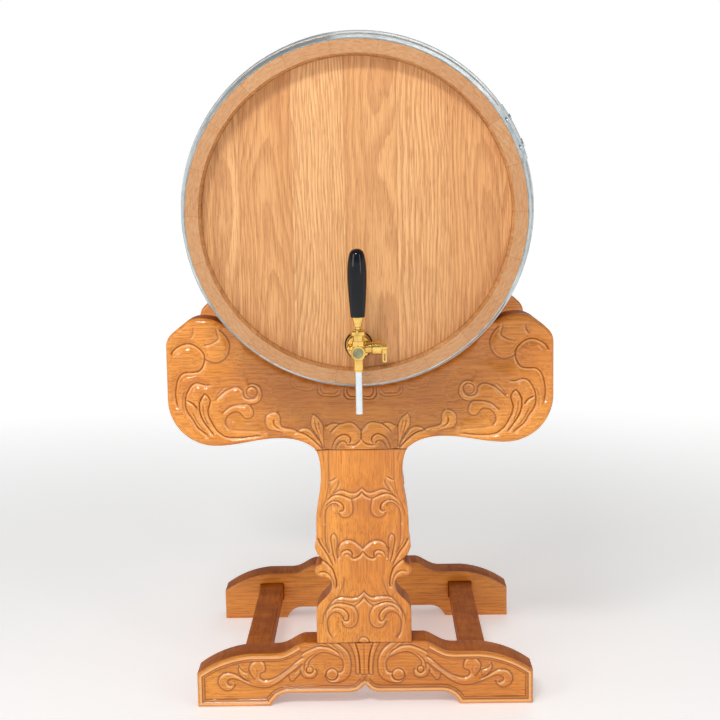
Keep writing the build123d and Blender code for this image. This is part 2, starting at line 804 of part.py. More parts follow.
stem_lean = tan(radians(lever_range))
stem_half = lever_stem_radius / cos(radians(lever_range)) + ball_clearance
bonnet_mouth = (bonnet_top - ball_height) * stem_lean + stem_half
bonnet_throat = (neck_height + bonnet_roof - ball_height) * stem_lean + stem_half
lever_section = Plane(origin=(0, lever_y, tap_z), x_dir=(1, 0, 0), z_dir=(0, -1, 0))

with BuildPart() as bonnet:
    with BuildSketch(lever_section):
        with BuildLine():
            Polyline(
                (bonnet_mouth, bonnet_top), (bonnet_mouth + bonnet_lip, bonnet_top),
                (bonnet_radius - bonnet_shoulder, bonnet_top - bonnet_shoulder),
                (bonnet_radius, bonnet_top - bonnet_slope),
                (bonnet_radius, bonnet_base + tap_edge), (bonnet_radius - tap_edge, bonnet_base),
                (neck_radius + thread_clearance, bonnet_base),
                (neck_radius + thread_clearance, neck_height + thread_clearance),
                (bonnet_throat, neck_height + bonnet_roof),
                close=True,
            )
        make_face()
    revolve(axis=lever_axis)
bonnet.part.label = "bonnet"
export_step(bonnet.part, "parts/bonnet.step")

stem_foot = sqrt(ball_radius**2 - lever_stem_radius**2)
pin_root = sqrt(ball_radius**2 - lever_pin_radius**2)
stem_top = grip_base + stem_in_grip
with BuildPart() as lever_stem:
    with BuildSketch(lever_section):
        with BuildLine():
            Line((0, lever_pin_tip), (lever_pin_radius, lever_pin_tip))
            Line((lever_pin_radius, lever_pin_tip), (lever_pin_radius, ball_height - pin_root))
            ThreePointArc(
                (lever_pin_radius, ball_height - pin_root), (ball_radius, ball_height),
                (lever_stem_radius, ball_height + stem_foot),
            )
            Polyline(
                (lever_stem_radius, ball_height + stem_foot), (lever_stem_radius, stem_top),
                (0, stem_top), (0, lever_pin_tip),
            )
        make_face()
    revolve(axis=lever_axis)
lever_stem.part.label = "lever_stem"
export_step(lever_stem.part, "parts/lever_stem.step")

with BuildPart() as lever_ferrule:
    with BuildSketch(lever_section):
        with BuildLine():
            Polyline(
                (lever_stem_radius, ferrule_base), (ferrule_base_radius - tap_edge, ferrule_base),
                (ferrule_base_radius, ferrule_base + tap_edge),
                (ferrule_base_radius + ferrule_band_step, ferrule_base + ferrule_band),
                (ferrule_top_radius, grip_base - ferrule_band), (ferrule_top_radius, grip_base),
                (lever_stem_radius, grip_base), close=True,
            )
        make_face()
    revolve(axis=lever_axis)
lever_ferrule.part.label = "lever_ferrule"
export_step(lever_ferrule.part, "parts/lever_ferrule.step")

with BuildPart() as handle_grip:
    with BuildSketch(lever_section):
        with BuildLine():
            Polyline(
                (0, stem_top), (lever_stem_radius, stem_top), (lever_stem_radius, grip_base),
                (grip_base_radius - tap_edge, grip_base), (grip_base_radius, grip_base + tap_edge),
            )
            Spline(
                (grip_base_radius, grip_base + tap_edge), (grip_radius, grip_base + grip_widest),
                (grip_tip_radius, grip_top - grip_dome),
                tangents=[(0.1, 1), (-0.28, 1)],
            )
            Spline(
                (grip_tip_radius, grip_top - grip_dome), (0, grip_top),
                tangents=[(-0.28, 1), (-1, 0)],
            )
            Line((0, grip_top), (0, stem_top))
        make_face()
    revolve(axis=lever_axis)
handle_grip.part.label = "handle_grip"
export_step(handle_grip.part, "parts/handle_grip.step")

# ---------------------------------------------------------------- plunger

guide_back = lever_distance - guide_half_length
with BuildPart() as plunger:
    with BuildSketch(tap_plane(guide_back)):
        Circle(barrel_bore - guide_clearance)
    extrude(amount=2 * guide_half_length)
    with BuildSketch(level_plane(lever_y, -2 * barrel_bore)):
        SlotOverall(
            2 * plunger_slot_half, 2 * (lever_pin_radius + plunger_slot_clearance), rotation=90
        )
    extrude(amount=4 * barrel_bore, mode=Mode.SUBTRACT)
    with BuildSketch(tap_plane(valve_seat_start - seal_thickness)):
        Circle(plunger_rod_radius)
    extrude(amount=guide_back - valve_seat_start + seal_thickness)
    with BuildSketch(tap_plane(valve_seat_start - seal_thickness - seal_keeper_length)):
        Circle(seal_keeper_radius)
    extrude(amount=seal_keeper_length)
plunger.part.label = "plunger"
export_step(plunger.part, "parts/plunger.step")

with BuildPart() as plunger_seal:
    with BuildSketch(tap_plane(valve_seat_start - seal_thickness)):
        Circle(seal_radius)
        Circle(plunger_rod_radius, mode=Mode.SUBTRACT)
    extrude(amount=seal_thickness - thread_clearance)
plunger_seal.part.label = "plunger_seal"
export_step(plunger_seal.part, "parts/plunger_seal.step")

# ---------------------------------------------------------------- spout

spout_section = Plane(origin=(0, spout_y, tap_z), x_dir=(1, 0, 0), z_dir=(0, -1, 0))
tube_top = -nozzle_bottom + tube_spigot
groove_middle = -nozzle_bottom + nozzle_groove_height
with BuildPart() as outlet_nozzle:
    with BuildSketch(spout_section):
        with BuildLine():
            Polyline(
                (spout_bore, -spout_boss_depth), (nozzle_radius - tap_edge, -spout_boss_depth),
                (nozzle_radius, -spout_boss_depth - tap_edge),
                (nozzle_radius, groove_middle + nozzle_groove),
                (nozzle_radius - nozzle_groove, groove_middle),
                (nozzle_radius, groove_middle - nozzle_groove),
                (nozzle_radius, -nozzle_bottom + tap_edge), (nozzle_radius - tap_edge, -nozzle_bottom),
                (tube_spigot_radius, -nozzle_bottom), (tube_spigot_radius, tube_top),
                (spout_bore, tube_top),
                close=True,
            )
        make_face()
    revolve(axis=spout_axis)
outlet_nozzle.part.label = "outlet_nozzle"
export_step(outlet_nozzle.part, "parts/outlet_nozzle.step")

with BuildPart() as outlet_tube:
    with BuildSketch(level_plane(spout_y, -tube_bottom)):
        Circle(tube_radius)
    extrude(amount=tube_bottom - nozzle_bottom)
    with BuildSketch(level_plane(spout_y, -nozzle_bottom)):
        Circle(tube_spigot_radius)
    extrude(amount=tube_spigot)
    with BuildSketch(level_plane(spout_y, -tube_bottom)):
        Circle(tube_bore)
    extrude(amount=tube_bottom, mode=Mode.SUBTRACT)
outlet_tube.part.label = "outlet_tube"
export_step(outlet_tube.part, "parts/outlet_tube.step")

# ---------------------------------------------------------------- flow control

with BuildPart() as flow_nut:
    with BuildSketch(flow_plane(barrel_radius)):
        Circle(flow_nut_radius)
    extrude(amount=flow_nut_reach - barrel_radius)
    chamfer(flow_nut.edges().filter_by(GeomType.CIRCLE), tap_edge)
    with BuildSketch(flow_plane(barrel_radius)):
        Circle(flow_boss_radius + thread_clearance)
    extrude(amount=flow_boss_reach - barrel_radius, mode=Mode.SUBTRACT)
    with BuildSketch(flow_plane(0)):
        Circle(flow_pin_radius + flow_clearance)
    extrude(amount=2 * flow_nut_reach, mode=Mode.SUBTRACT)
flow_nut.part.label = "flow_nut"
export_step(flow_nut.part, "parts/flow_nut.step")

with BuildPart() as flow_housing:
    with BuildSketch(flow_plane(flow_nut_reach)):
        Circle(flow_housing_radius)
    extrude(amount=flow_housing_reach - flow_nut_reach)
    chamfer(flow_housing.edges().filter_by(GeomType.CIRCLE), 1.5 * tap_edge)
    with BuildSketch(flow_plane(0)):
        Circle(flow_pin_radius + flow_clearance)
    extrude(amount=2 * flow_housing_reach, mode=Mode.SUBTRACT)
flow_housing.part.label = "flow_housing"
export_step(flow_housing.part, "parts/flow_housing.step")

flow_lever_middle = flow_lever_start + flow_lever_width / 2
flow_y = head_face - flow_distance
with BuildPart() as flow_lever:
    with BuildSketch(flow_plane(flow_pin_start)):
        Circle(flow_pin_radius)
    extrude(amount=flow_pin_reach - flow_pin_start)
    chamfer(flow_lever.edges().filter_by(GeomType.CIRCLE).sort_by(Axis.X)[-1], tap_edge)
    with BuildSketch(flow_plane(flow_lever_start)):
        Circle(flow_lever_eye)
    extrude(amount=flow_lever_width)
    with Locations((flow_lever_middle, flow_y, tap_z - flow_lever_length / 2)):
        Box(flow_lever_width, flow_lever_thickness, flow_lever_length)
    fillet(flow_lever.edges().filter_by(Axis.Y).group_by(Axis.Z)[0], flow_lever_width / 3)
    slot_z = tap_z - flow_lever_length + flow_slot_length / 2 + (flow_lever_width - flow_slot_width) / 2
    with BuildSketch(frame_plane(flow_y - flow_lever_thickness)):
        with Locations((flow_lever_middle, slot_z)):
            SlotOverall(flow_slot_length, flow_slot_width, rotation=90)
    extrude(amount=-2 * flow_lever_thickness, mode=Mode.SUBTRACT)
flow_lever.part.label = "flow_lever"
export_step(flow_lever.part, "parts/flow_lever.step")
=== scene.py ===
"""Looks of an oak liquor cask with a brass lever tap, lying on a carved two-frame wooden stand."""

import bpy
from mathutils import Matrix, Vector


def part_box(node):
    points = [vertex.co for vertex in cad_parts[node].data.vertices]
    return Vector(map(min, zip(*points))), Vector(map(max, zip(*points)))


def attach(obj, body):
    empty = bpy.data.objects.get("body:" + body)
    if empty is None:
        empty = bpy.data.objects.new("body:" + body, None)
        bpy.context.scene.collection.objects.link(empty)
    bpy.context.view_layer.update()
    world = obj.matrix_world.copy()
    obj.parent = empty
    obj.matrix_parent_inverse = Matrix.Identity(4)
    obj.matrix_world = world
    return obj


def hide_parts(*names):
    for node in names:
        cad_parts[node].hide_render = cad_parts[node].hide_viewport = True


bl_info = {
    "name": "Oak Cask Dispenser",
    "version": (1, 0, 0),
    "blender": (4, 5, 0),
    "location": "View3D > Sidebar > Cask",
    "description": "Carves the stand, finishes the cask and the tap, and sets up a small studio",
    "category": "Object",
}

from math import cos, pi, radians, sin

import bmesh
import bpy
import numpy as np
from bpy.props import FloatProperty, FloatVectorProperty, PointerProperty
from mathutils import Matrix, Vector
from mathutils.geometry import delaunay_2d_cdt
from mathutils.kdtree import KDTree

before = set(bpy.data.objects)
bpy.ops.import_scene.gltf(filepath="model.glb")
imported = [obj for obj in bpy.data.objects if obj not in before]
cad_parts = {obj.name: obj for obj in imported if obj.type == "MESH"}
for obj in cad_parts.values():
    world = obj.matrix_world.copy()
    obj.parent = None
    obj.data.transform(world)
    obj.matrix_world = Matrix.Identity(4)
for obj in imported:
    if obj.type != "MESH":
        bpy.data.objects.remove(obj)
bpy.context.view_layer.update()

# ---------------------------------------------------------------- places, from the frame

MM = 0.001                              # one millimetre in metres


def box_mm(node):
    """Lowest and highest corner of a CAD node in millimetres."""
    low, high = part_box(node)
    return low / MM, high / MM


YOKE_BASE = box_mm("front_yoke")[0].z
FOOT_TOP = box_mm("front_foot")[1].z
HEAD_LOW, HEAD_HIGH = box_mm("front_head")
CASK_LOW, CASK_HIGH = box_mm("stave_12")
CASK_Y = (CASK_LOW.y + CASK_HIGH.y) / 2
CASK_Z = (HEAD_LOW.z + HEAD_HIGH.z) / 2
STAVE_COUNT = sum(name.startswith("stave_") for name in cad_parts)
HEAD_BOARD = 77.5                       # width of a head's boards, in millimetres
HEAD_SHIFT = 3.22                       # how many boards' widths the joints are shifted from the middle
HEAD_TONE = (3.04, 4.0)                 # step and start, in radians, of the boards' tones

# ---------------------------------------------------------------- carved lines


class Cut:
    """One carved line; its points are millimetres across from the middle and up from the floor."""

    def __init__(self, points, depth, left, right=None, fade=(5.0, 5.0), low=""):
        self.points = points
        self.depth = depth
        self.left = left                # millimetres over which the wood is worked on the line's left
        self.right = left if right is None else right
        self.fade = fade                # lengths over which the ends run out
        self.low = low                  # side, L or R, that is dished as ground and not rounded over


def ring(across, up, radius):
    """Points round a circle, closed."""
    turns = np.linspace(0, 2 * pi, 25)
    return [(across + radius * cos(turn), up + radius * sin(turn)) for turn in turns]


OPEN = (0.0, 0.0)                       # both ends of the line stay at full depth

YOKE_CUTS = [
    # rolled head of the lobe and the band that runs down from it
    Cut([(296, 577), (292, 584), (284, 590), (275, 593.5), (266, 594), (258, 591), (250, 585), (244, 577),
         (243, 569), (245, 561), (249, 554), (255, 550), (264, 549), (274, 548.5), (280, 546), (285, 540),
         (288, 533), (290, 524), (291, 515), (290.5, 505), (288, 495), (284, 486)], 4.2, 13, 9, (3, 18)),
    Cut([(225, 621), (223.5, 611), (221.5, 601.5), (230, 595), (238, 592.5), (248, 592)], 2.2, 9, 7, (8, 10)),
    Cut([(222, 617), (214, 610.5), (207.5, 602), (204, 592.5), (205, 582), (209, 573), (216, 566.5),
         (226, 563.5), (236, 566), (243, 570)], 3.4, 8, 10, (8, 0), low="R"),
    Cut([(261, 622), (260, 615), (262, 607), (267, 602)], 1.6, 5, 5, (6, 6)),
    # deep C inside the band
    Cut([(229, 530.5), (236, 530), (242.5, 529.5), (248.5, 531), (254.5, 532.5), (260.5, 531.5), (265.5, 528),
         (269.5, 522), (273.5, 515), (275.5, 508), (276, 500), (275.5, 492), (272.5, 484), (268.5, 478),
         (264.5, 472), (261.5, 466), (257.5, 460), (252.5, 455.5), (247.5, 451.5), (242.5, 447.5),
         (238, 444.5)], 3.6, 8, 11, (12, 8)),
    Cut([(275, 520), (279, 512), (280.5, 502), (280, 492), (278, 485)], 1.4, 3, 3, (6, 8)),
    # two leaves beside it
    Cut([(272.5, 504), (266.5, 501), (262.5, 498), (259.5, 494), (257, 490)], 3.0, 3, 8, (0, 3)),
    Cut([(265.5, 489), (264.5, 483), (261.5, 476), (258.5, 470), (254.5, 464), (250.5, 459), (246, 455)],
        2.2, 4, 4, (6, 8)),
    Cut([(245.3, 515), (248.5, 511), (251.5, 506), (254, 500), (254.5, 493), (254, 487), (252.5, 480),
         (249.5, 473), (245.5, 466), (241.5, 460), (237.5, 454.5), (233.5, 450), (229, 446.5)],
        3.2, 5, 4, (0, 8)),
    Cut([(248.3, 500), (248.6, 490), (247.5, 482), (245.5, 475), (242.5, 468), (239, 461)],
        2.0, 4, 4, (5, 8)),
    Cut([(249, 508), (244.5, 506), (240, 507.5)], 1.0, 3, 3, (2, 2)),
    # right side of the second leaf, which runs on as the underside of the long stem
    Cut([(245.3, 515), (241.5, 513), (238.5, 509), (237, 505), (237.5, 500), (239.5, 494), (241, 488),
         (240.5, 482), (238.5, 475), (235.5, 469), (232.5, 463), (229.5, 458), (226.5, 454), (222.5, 451),
         (217.5, 447), (212.5, 444.7), (206.5, 443.6), (199.5, 443.2), (191.5, 443.2), (181.5, 443.8),
         (171.5, 445), (161.5, 446.7), (151, 448)], 3.4, 9, 5, (0, 14)),
    # sweep over to the small eye
    Cut([(230.5, 504), (226.5, 508), (222.5, 511.5), (217.5, 516), (212.5, 520), (207.5, 522.5), (201.5, 525),
         (196.5, 525.7), (191.5, 525), (187, 522), (184.5, 518), (183.5, 512), (181.5, 508.5), (177.5, 506.3),
         (171, 505.8), (165, 508), (161.5, 512)], 2.8, 9, 5, (8, 6), low="R"),
    Cut([(229, 509), (225, 514.5), (221, 519.5), (216.5, 524), (211, 527)], 1.8, 3.5, 3.5, (4, 6)),
    Cut([(180, 527), (173, 530), (166.5, 529.5), (161.5, 527.5), (157.5, 523.5), (155.2, 518), (154.5, 511),
         (156, 506), (159, 501.5), (163.5, 498.5), (168.5, 497), (174.5, 496.5)], 3.2, 9, 7, (8, 0), low="R"),
    Cut(ring(170.8, 517, 8.6), 2.6, 8.6, 3.5, OPEN),
    # lower C scroll
    Cut([(219.5, 481.5), (215.5, 486), (210.5, 490.5), (204.5, 494.5), (196.5, 497), (186.5, 498),
         (176.5, 497.5), (173, 495), (170.5, 491), (168.5, 486), (168.5, 481), (170.5, 477), (174.5, 474.5),
         (179.5, 474), (183.5, 476), (186.5, 480), (189.5, 483.5), (193.5, 485), (198.5, 485), (203.5, 483.5),
         (207.5, 480.5), (210.5, 477), (212.5, 472), (213, 467), (211.5, 463), (208.5, 459.5),
         (203, 457)], 3.2, 7, 7, (6, 12), low="R"),
    Cut([(206, 458), (196, 456.2), (180, 455.6), (166, 454.8), (155, 453)], 1.4, 7, 7, (10, 8), low="R"),
    # curl on the stem
    Cut([(133, 484.5), (139, 484.5), (145, 482.3), (149.5, 478), (151.2, 471), (150.5, 464), (148, 458.5),
         (143, 455.5), (136, 454), (128, 452.5), (118, 451)], 2.8, 8, 8, (4, 12), low="L"),
    Cut([(136.5, 475), (138, 469), (136.5, 463), (131, 458.8), (124, 457)], 2.2, 4, 4, (4, 8)),
    Cut([(133, 484.5), (129, 480), (127.2, 474), (127.7, 467), (125.5, 462), (120, 459.6), (112, 458),
         (105, 456), (100.5, 454)], 3.0, 6, 10, (0, 0), low="R"),
    # sprout and its veins
    Cut([(104, 453), (101.5, 453), (93.5, 451), (86.5, 448), (79.5, 443), (72.5, 437), (66.5, 431),
         (60.5, 424)], 2.8, 4, 6, (4, 0)),
    Cut([(102.5, 453), (97, 457), (90, 459), (83, 458), (77.5, 454), (73, 448), (68, 441), (63.5, 434),
         (60, 426)], 2.8, 6, 4, OPEN, low="R"),
    Cut([(94.5, 453.5), (86.5, 452.4), (79.5, 448.5), (73.5, 442.5), (68, 436)], 1.6, 3, 3, (4, 6)),
    # upright leaf
    Cut([(74.5, 480), (78, 474), (79, 466), (77.8, 459), (74.5, 453.5), (70.5, 447.5), (66.5, 441),
         (62.5, 433.5), (60, 426)], 3.0, 5, 7, OPEN, low="L"),
    Cut([(74.5, 480), (67.5, 475), (62.5, 469.5), (59.2, 463), (58, 457), (58.2, 449), (58.3, 440),
         (58.3, 426)], 3.2, 7, 5, OPEN, low="R"),
    Cut([(72.5, 474), (72, 467), (70.5, 460), (68, 452), (65.5, 444), (62.5, 435)], 1.8, 3, 3, (5, 8)),
    Cut([(67, 471), (65.5, 462), (63.5, 454), (61.5, 445)], 1.5, 3, 3, (5, 8)),
    # pair of scrolls in the middle
    Cut([(56, 459.5), (48, 463.7), (42, 465.2), (36, 464.6), (31, 463.8), (25.5, 465), (18.5, 466.3),
         (12.5, 465), (7.5, 461.5), (3.8, 457), (0, 451.5)], 3.2, 7, 10, (4, 0), low="R"),
    Cut([(49.5, 446), (46, 452), (41, 457.5), (35, 461.8), (31, 463.8)], 2.6, 4, 6, (6, 0)),
    Cut([(55, 443), (54.5, 451), (56.5, 459)], 1.6, 3, 3, (6, 0)),
    Cut([(46.5, 424), (43.5, 433), (39, 440), (33, 444.5), (26, 446.5), (20, 444.5), (16.5, 440),
         (16.5, 435), (19.5, 431.5)], 2.6, 5, 6, (0, 3)),
    Cut([(40, 424), (37, 431), (32, 435.3), (27, 436), (23, 433.5), (22, 430)], 2.2, 4, 5, (0, 3)),
    Cut([(0, 455), (0, 447), (0, 439)], 3.0, 6, 6, OPEN),
    Cut([(0, 440), (3.5, 434.5), (9.5, 430.3), (17, 429.3), (26, 430)], 2.2, 6, 4, (0, 8)),
]

PEDESTAL_CUTS = [
    # lower pair of scrolls
    Cut([(66, 132), (66.3, 140), (65.5, 148), (63, 155.5), (59, 163), (54, 170), (48, 177), (42, 180.5),
         (35, 181.5), (28, 181.3), (20, 180.2), (12, 180.5), (7, 183), (3, 186.5), (0, 190.5)],
        3.0, 10, 7, (16, 0), low="R"),
    Cut([(52, 172), (44, 175.5), (38, 176.6), (30, 175.7), (22, 173.7), (16, 173), (11, 174.8), (7, 177.8),
         (3, 181.5), (0, 185)], 1.6, 3, 3, (8, 0)),
    Cut([(62.5, 141), (62, 150), (60.5, 157), (57, 163), (52, 168), (46, 171), (40, 172), (33, 171.5),
         (25, 169.5), (18, 166.8), (15.5, 165.3), (12, 168), (8, 171.5), (4, 176), (0, 180.5)],
        2.6, 4, 6, (14, 0)),
    Cut([(55, 159.5), (52, 161.8), (46, 164.2), (40, 164.2), (34, 162.3), (29, 158.5), (25.5, 153),
         (24.5, 148), (25.5, 143.5), (28.5, 141), (31.5, 142.5), (33, 146)], 2.6, 6, 5, (10, 2)),
    Cut([(33, 146), (36.5, 151.5), (40, 154.5), (45, 156), (50, 154.5), (55, 150), (58.5, 144), (59.5, 137),
         (59, 130), (57.5, 122), (54, 116), (50, 111)], 3.2, 9, 6, (0, 8), low="R"),
    Cut([(15.5, 165.3), (11, 158), (9, 149), (10, 140), (14, 133.3), (20, 129.6), (27, 129.5), (32, 132.5),
         (35, 138), (34.5, 143)], 2.8, 8, 14, (0, 3), low="R"),
    Cut([(9, 105), (8, 110), (5, 113.7), (0, 115)], 2.2, 5, 7, OPEN),
    # band of the waist
    Cut([(42, 181), (38, 188), (35, 195), (32, 203), (30.5, 211), (30, 221)], 2.0, 6, 8, (0, 14), low="L"),
    Cut([(70, 247), (64, 242.5), (57, 237.5), (52, 232.5), (48, 227), (45.5, 220), (43.5, 213), (42.5, 206),
         (42.7, 199), (45, 191)], 3.0, 5, 6, (2, 10)),
    Cut([(72, 222), (69, 223.5), (62, 224.2), (56, 221.8), (51.5, 217.5), (48.5, 211.5), (46.8, 204),
         (47.5, 196)], 2.2, 4, 4, (4, 8)),
    # fan of leaves at the belly
    Cut([(45.5, 286), (50, 283), (51.2, 276), (50.3, 267), (48.8, 259), (47, 251), (45, 244), (43.5, 236)],
        2.6, 5, 6, (0, 6)),
    Cut([(45.5, 286), (41.8, 280), (40.5, 273), (41.2, 265), (41.5, 257), (40.6, 249), (39.8, 240)],
        2.6, 6, 5, (0, 8), low="R"),
    Cut([(46, 278), (45.5, 268), (44.8, 259), (43.5, 250)], 1.4, 3, 3, (6, 6)),
    Cut([(72.5, 279), (69, 271), (65, 264.5), (60.5, 258), (56.5, 251.5), (53, 245), (50, 238.5),
         (46.5, 231)], 2.8, 6, 5, (2, 6)),
    Cut([(66, 281), (64, 273), (60, 265), (56, 257), (52, 249)], 1.6, 3, 3, (5, 6)),
    Cut([(60.3, 303), (60.5, 290), (60, 277), (58, 266), (54.5, 257), (51, 249)],
        2.4, 5, 8, (0, 8), low="R"),
    # middle pair of scrolls
    Cut([(39.5, 260), (37.5, 267.5), (33, 272), (27, 274.6), (20, 275), (13, 272.5), (7.5, 268.5),
         (3, 264.5), (0, 261)], 3.2, 8, 9, (4, 0), low="R"),
    Cut([(37, 247), (34.5, 254), (30.5, 257.6), (25, 259), (20, 257.5), (17.3, 254), (17, 250), (18, 247),
         (15, 245.3), (11, 246.3), (7, 248.5), (3.5, 252), (0, 257)], 2.6, 5, 6, (5, 0)),
    Cut([(31.5, 247.5), (28.5, 252), (24.5, 252.8), (21.5, 250.5), (19.5, 246.5)], 2.0, 3, 3, (3, 3)),
    # upper pair of scrolls
    Cut([(49, 351), (43, 353.5), (38, 356.5), (32, 357.5), (26, 356), (20, 353.5), (14, 352.3), (9, 353.2),
         (5, 355.7), (0, 360.5)], 2.6, 10, 4, (6, 0), low="R"),
    Cut([(58, 339), (51, 346), (46, 349), (41, 350.5), (34, 350), (27, 347.5), (20, 344), (16, 342.5),
         (12, 343.7), (7, 346.4), (3.5, 349.5), (0, 354)], 2.6, 4, 5, (6, 0)),
    Cut([(60.5, 328), (56, 334), (51, 338), (46, 339.7), (40, 339.5), (35, 337), (31, 333), (29.5, 328),
         (30.5, 324), (34, 322.3), (37.5, 324.5)], 2.6, 5, 5, (6, 3)),
    Cut([(37.5, 329.5), (41, 334.3), (45, 335.5), (49.5, 334.5), (54, 331), (57.5, 326), (59.5, 320),
         (60.3, 312), (60.3, 303)], 2.8, 10, 6, (3, 0), low="R"),
    Cut([(16.5, 342.5), (15, 335), (14, 328), (14.8, 321), (17.5, 316), (22, 312.7), (27, 311.5),
         (32, 312.7), (36, 316.5), (38, 322)], 2.8, 14, 8, (0, 3), low="R"),
    Cut([(68.5, 309), (66.8, 320), (64, 329), (61, 336), (58, 343), (56, 350), (54, 358), (52.3, 366),
         (51.5, 376), (51.5, 392), (51.8, 407), (51, 424)], 1.9, 6, 6, (10, 0), low="L"),
    # sprigs under the neck
    Cut([(50.5, 372.5), (45, 374.7), (39, 379.5)], 2.4, 3, 8, (0, 5)),
    Cut([(51, 347), (46, 353), (42, 358), (39, 363), (37, 368.5), (36.5, 375)], 2.2, 6, 4, (4, 4)),
    Cut([(54, 350), (50.5, 357), (46.5, 364), (43.5, 370)], 1.5, 3, 3, (4, 5)),
    Cut([(57.5, 398), (59, 410), (62, 424)], 1.2, 4, 4, (12, 0)),
]

FOOT_CUTS = [
    # fluted shell
    Cut([(0, 107), (0, 90), (0, 70), (0, 51)], 1.4, 3, 3, OPEN),
    Cut([(15, 107), (11.5, 96), (9, 86), (7.6, 75), (7, 62), (7.2, 51.6)], 2.8, 3.6, 3.6, OPEN),
    Cut([(27, 107), (22.5, 100), (18.8, 92), (16, 83), (14.4, 73), (13.6, 62), (13.8, 51.2)],
        2.8, 4, 4, OPEN, low="L"),
    Cut([(13.8, 51.2), (10.5, 50.2), (7.2, 51.6), (3.5, 50.2), (0, 51)], 2.8, 4, 5, OPEN, low="L"),
    Cut([(12, 45), (7, 43), (0, 41.5)], 1.4, 4, 4, (6, 0)),
    # big C scroll with its ball
    Cut([(47, 108), (40, 103), (34, 98), (29, 93), (25, 87), (22.5, 80), (21.2, 72), (21, 64), (21.6, 57),
         (23, 51.5), (26, 46.5), (30, 42.5), (35, 39.5), (41, 37.2), (48, 36.3), (55, 37), (60.5, 40),
         (64, 44.5), (65.3, 49.5), (64, 55)], 3.2, 7, 7, (0, 8), low="R"),
    Cut(ring(53.5, 51.3, 10.0), 3.0, 10, 4, OPEN),
    Cut([(92, 65), (91.2, 72), (89, 76.5), (85, 80), (80, 83.5), (74, 86.8), (68, 88.4), (60, 87.5),
         (52, 85), (45, 82), (39.5, 79.5), (36, 75.5), (34.3, 70), (34.6, 63), (36.2, 57.5), (39, 55),
         (43, 55)], 3.2, 5, 11, (2, 0), low="L"),
    Cut([(104, 86), (96, 91), (88, 95), (80, 98), (72, 99.7), (62, 99.2), (55, 96.8), (48, 93), (42, 88.5),
         (37.5, 83)], 2.8, 5, 6, (2, 6)),
    Cut([(70, 108), (62, 103), (56, 99.7), (50, 95)], 1.8, 4, 4, (0, 4)),
    Cut([(58, 108), (50, 101), (43, 95), (36, 88), (31, 80)], 1.6, 4, 4, (0, 8)),
    # small curl with its ball, and the lobed leaf beside it
    Cut(ring(90, 60, 5.6), 2.6, 5.6, 3, OPEN),
    Cut([(98.5, 60), (98.5, 67), (96.5, 74), (92.5, 79), (87.5, 83), (80, 87)], 2.4, 4, 4, (2, 8)),
    Cut([(104.5, 57), (103, 52), (100, 48), (96, 46), (90, 45), (84.5, 46), (80.3, 49.3), (78.3, 54),
         (79, 59), (82.5, 61.5)], 3.0, 6, 6, (0, 2), low="L"),
    Cut([(126, 50.5), (123, 50), (122, 45), (119.5, 41.8), (115.5, 41.8), (112.5, 45.5), (109, 49.5),
         (106, 52.3), (104.5, 57)], 3.0, 6, 5, OPEN, low="L"),
    Cut([(101, 71.5), (105, 66), (110, 60), (116, 53.5)], 1.8, 3, 3, (3, 6)),
    Cut([(102.5, 69), (105.5, 62.5), (104.5, 57)], 1.8, 3, 3, (3, 0)),
    # long S stem
    Cut([(98, 83.5), (104, 79.5), (110, 75), (116, 70), (123, 63.5), (130, 58), (140, 51), (148, 47),
         (156, 44.6), (163, 44.3), (168, 47), (169.5, 51), (168, 55.5), (161, 58.5), (159.8, 64),
         (160.8, 70), (163.5, 74.5), (168, 77.2), (174, 77.5), (180, 75.3), (184.5, 71), (187, 65.5),
         (187.3, 60), (185, 54.5), (181, 49), (176.5, 44)], 3.2, 7, 9, (6, 6), low="L"),
    Cut([(98, 72), (106, 66.5), (114, 59.5), (124, 52), (131, 46), (138, 40.5), (146, 35.8), (154, 32.3),
         (162, 31), (170, 31.4), (178, 33), (186, 35.5), (193, 38.6), (200, 42), (207, 44.5), (213, 46.5),
         (219, 45.8), (223, 42.5), (223, 38.5), (219.5, 35.4), (215, 35.8)], 3.0, 7, 8, (4, 2), low="R"),
    Cut([(108, 74), (116, 66.5), (125, 59), (135, 51.5), (145, 45), (155, 40.5)], 1.4, 4, 4, (8, 10)),
    Cut([(183, 41.5), (190, 43), (198, 46.7), (205, 51.5), (212, 55), (220, 56.8), (228, 56), (234, 52.5),
         (238, 46.5), (239, 40), (236.8, 33.5), (231.5, 28.5), (225, 25.8), (218.5, 27), (214, 30.5),
         (211.3, 35.5), (211.8, 40.5)], 3.2, 9, 7, (6, 4), low="L"),
    Cut([(204, 68), (205.3, 61), (203.5, 54.5), (199.5, 49.5), (195, 45.8), (189, 42.3)],
        3.0, 6, 6, (0, 2), low="L"),
    Cut([(204, 68), (200, 62.5), (195.5, 59.3), (190.5, 57.5), (187.5, 57)], 2.2, 5, 4, (0, 2), low="R"),
    Cut([(196, 56), (192, 50), (186, 44)], 1.2, 3, 3, (4, 4)),
    Cut([(175, 66), (173, 58), (175, 51), (179, 45)], 1.2, 4, 4, (5, 5)),
]


SADDLE_REACH = 526.0                    # height at the middle of the saddle, in millimetres
DROP_COUNT = 3                          # drops on each side of the middle one
DROP_LENGTH = 22.0                      # millimetres from the saddle to the lowest drop's end
DROP_HALF = 5.2                         # half width of the middle drop, in degrees about the cask's axis
DROP_WIDTH = 7.6                        # width of the other drops, in degrees
DROP_GAP = 0.9                          # degrees between two drops
DROP_INSET = 4.2                        # millimetres between a drop's two lines
DROP_DEPTH = 1.8
DROP_WORKED = 3.0                       # millimetres worked on both sides of a drop's line
PAST_MIDDLE = 4.0                       # millimetres that the middle drop's line keeps past the middle


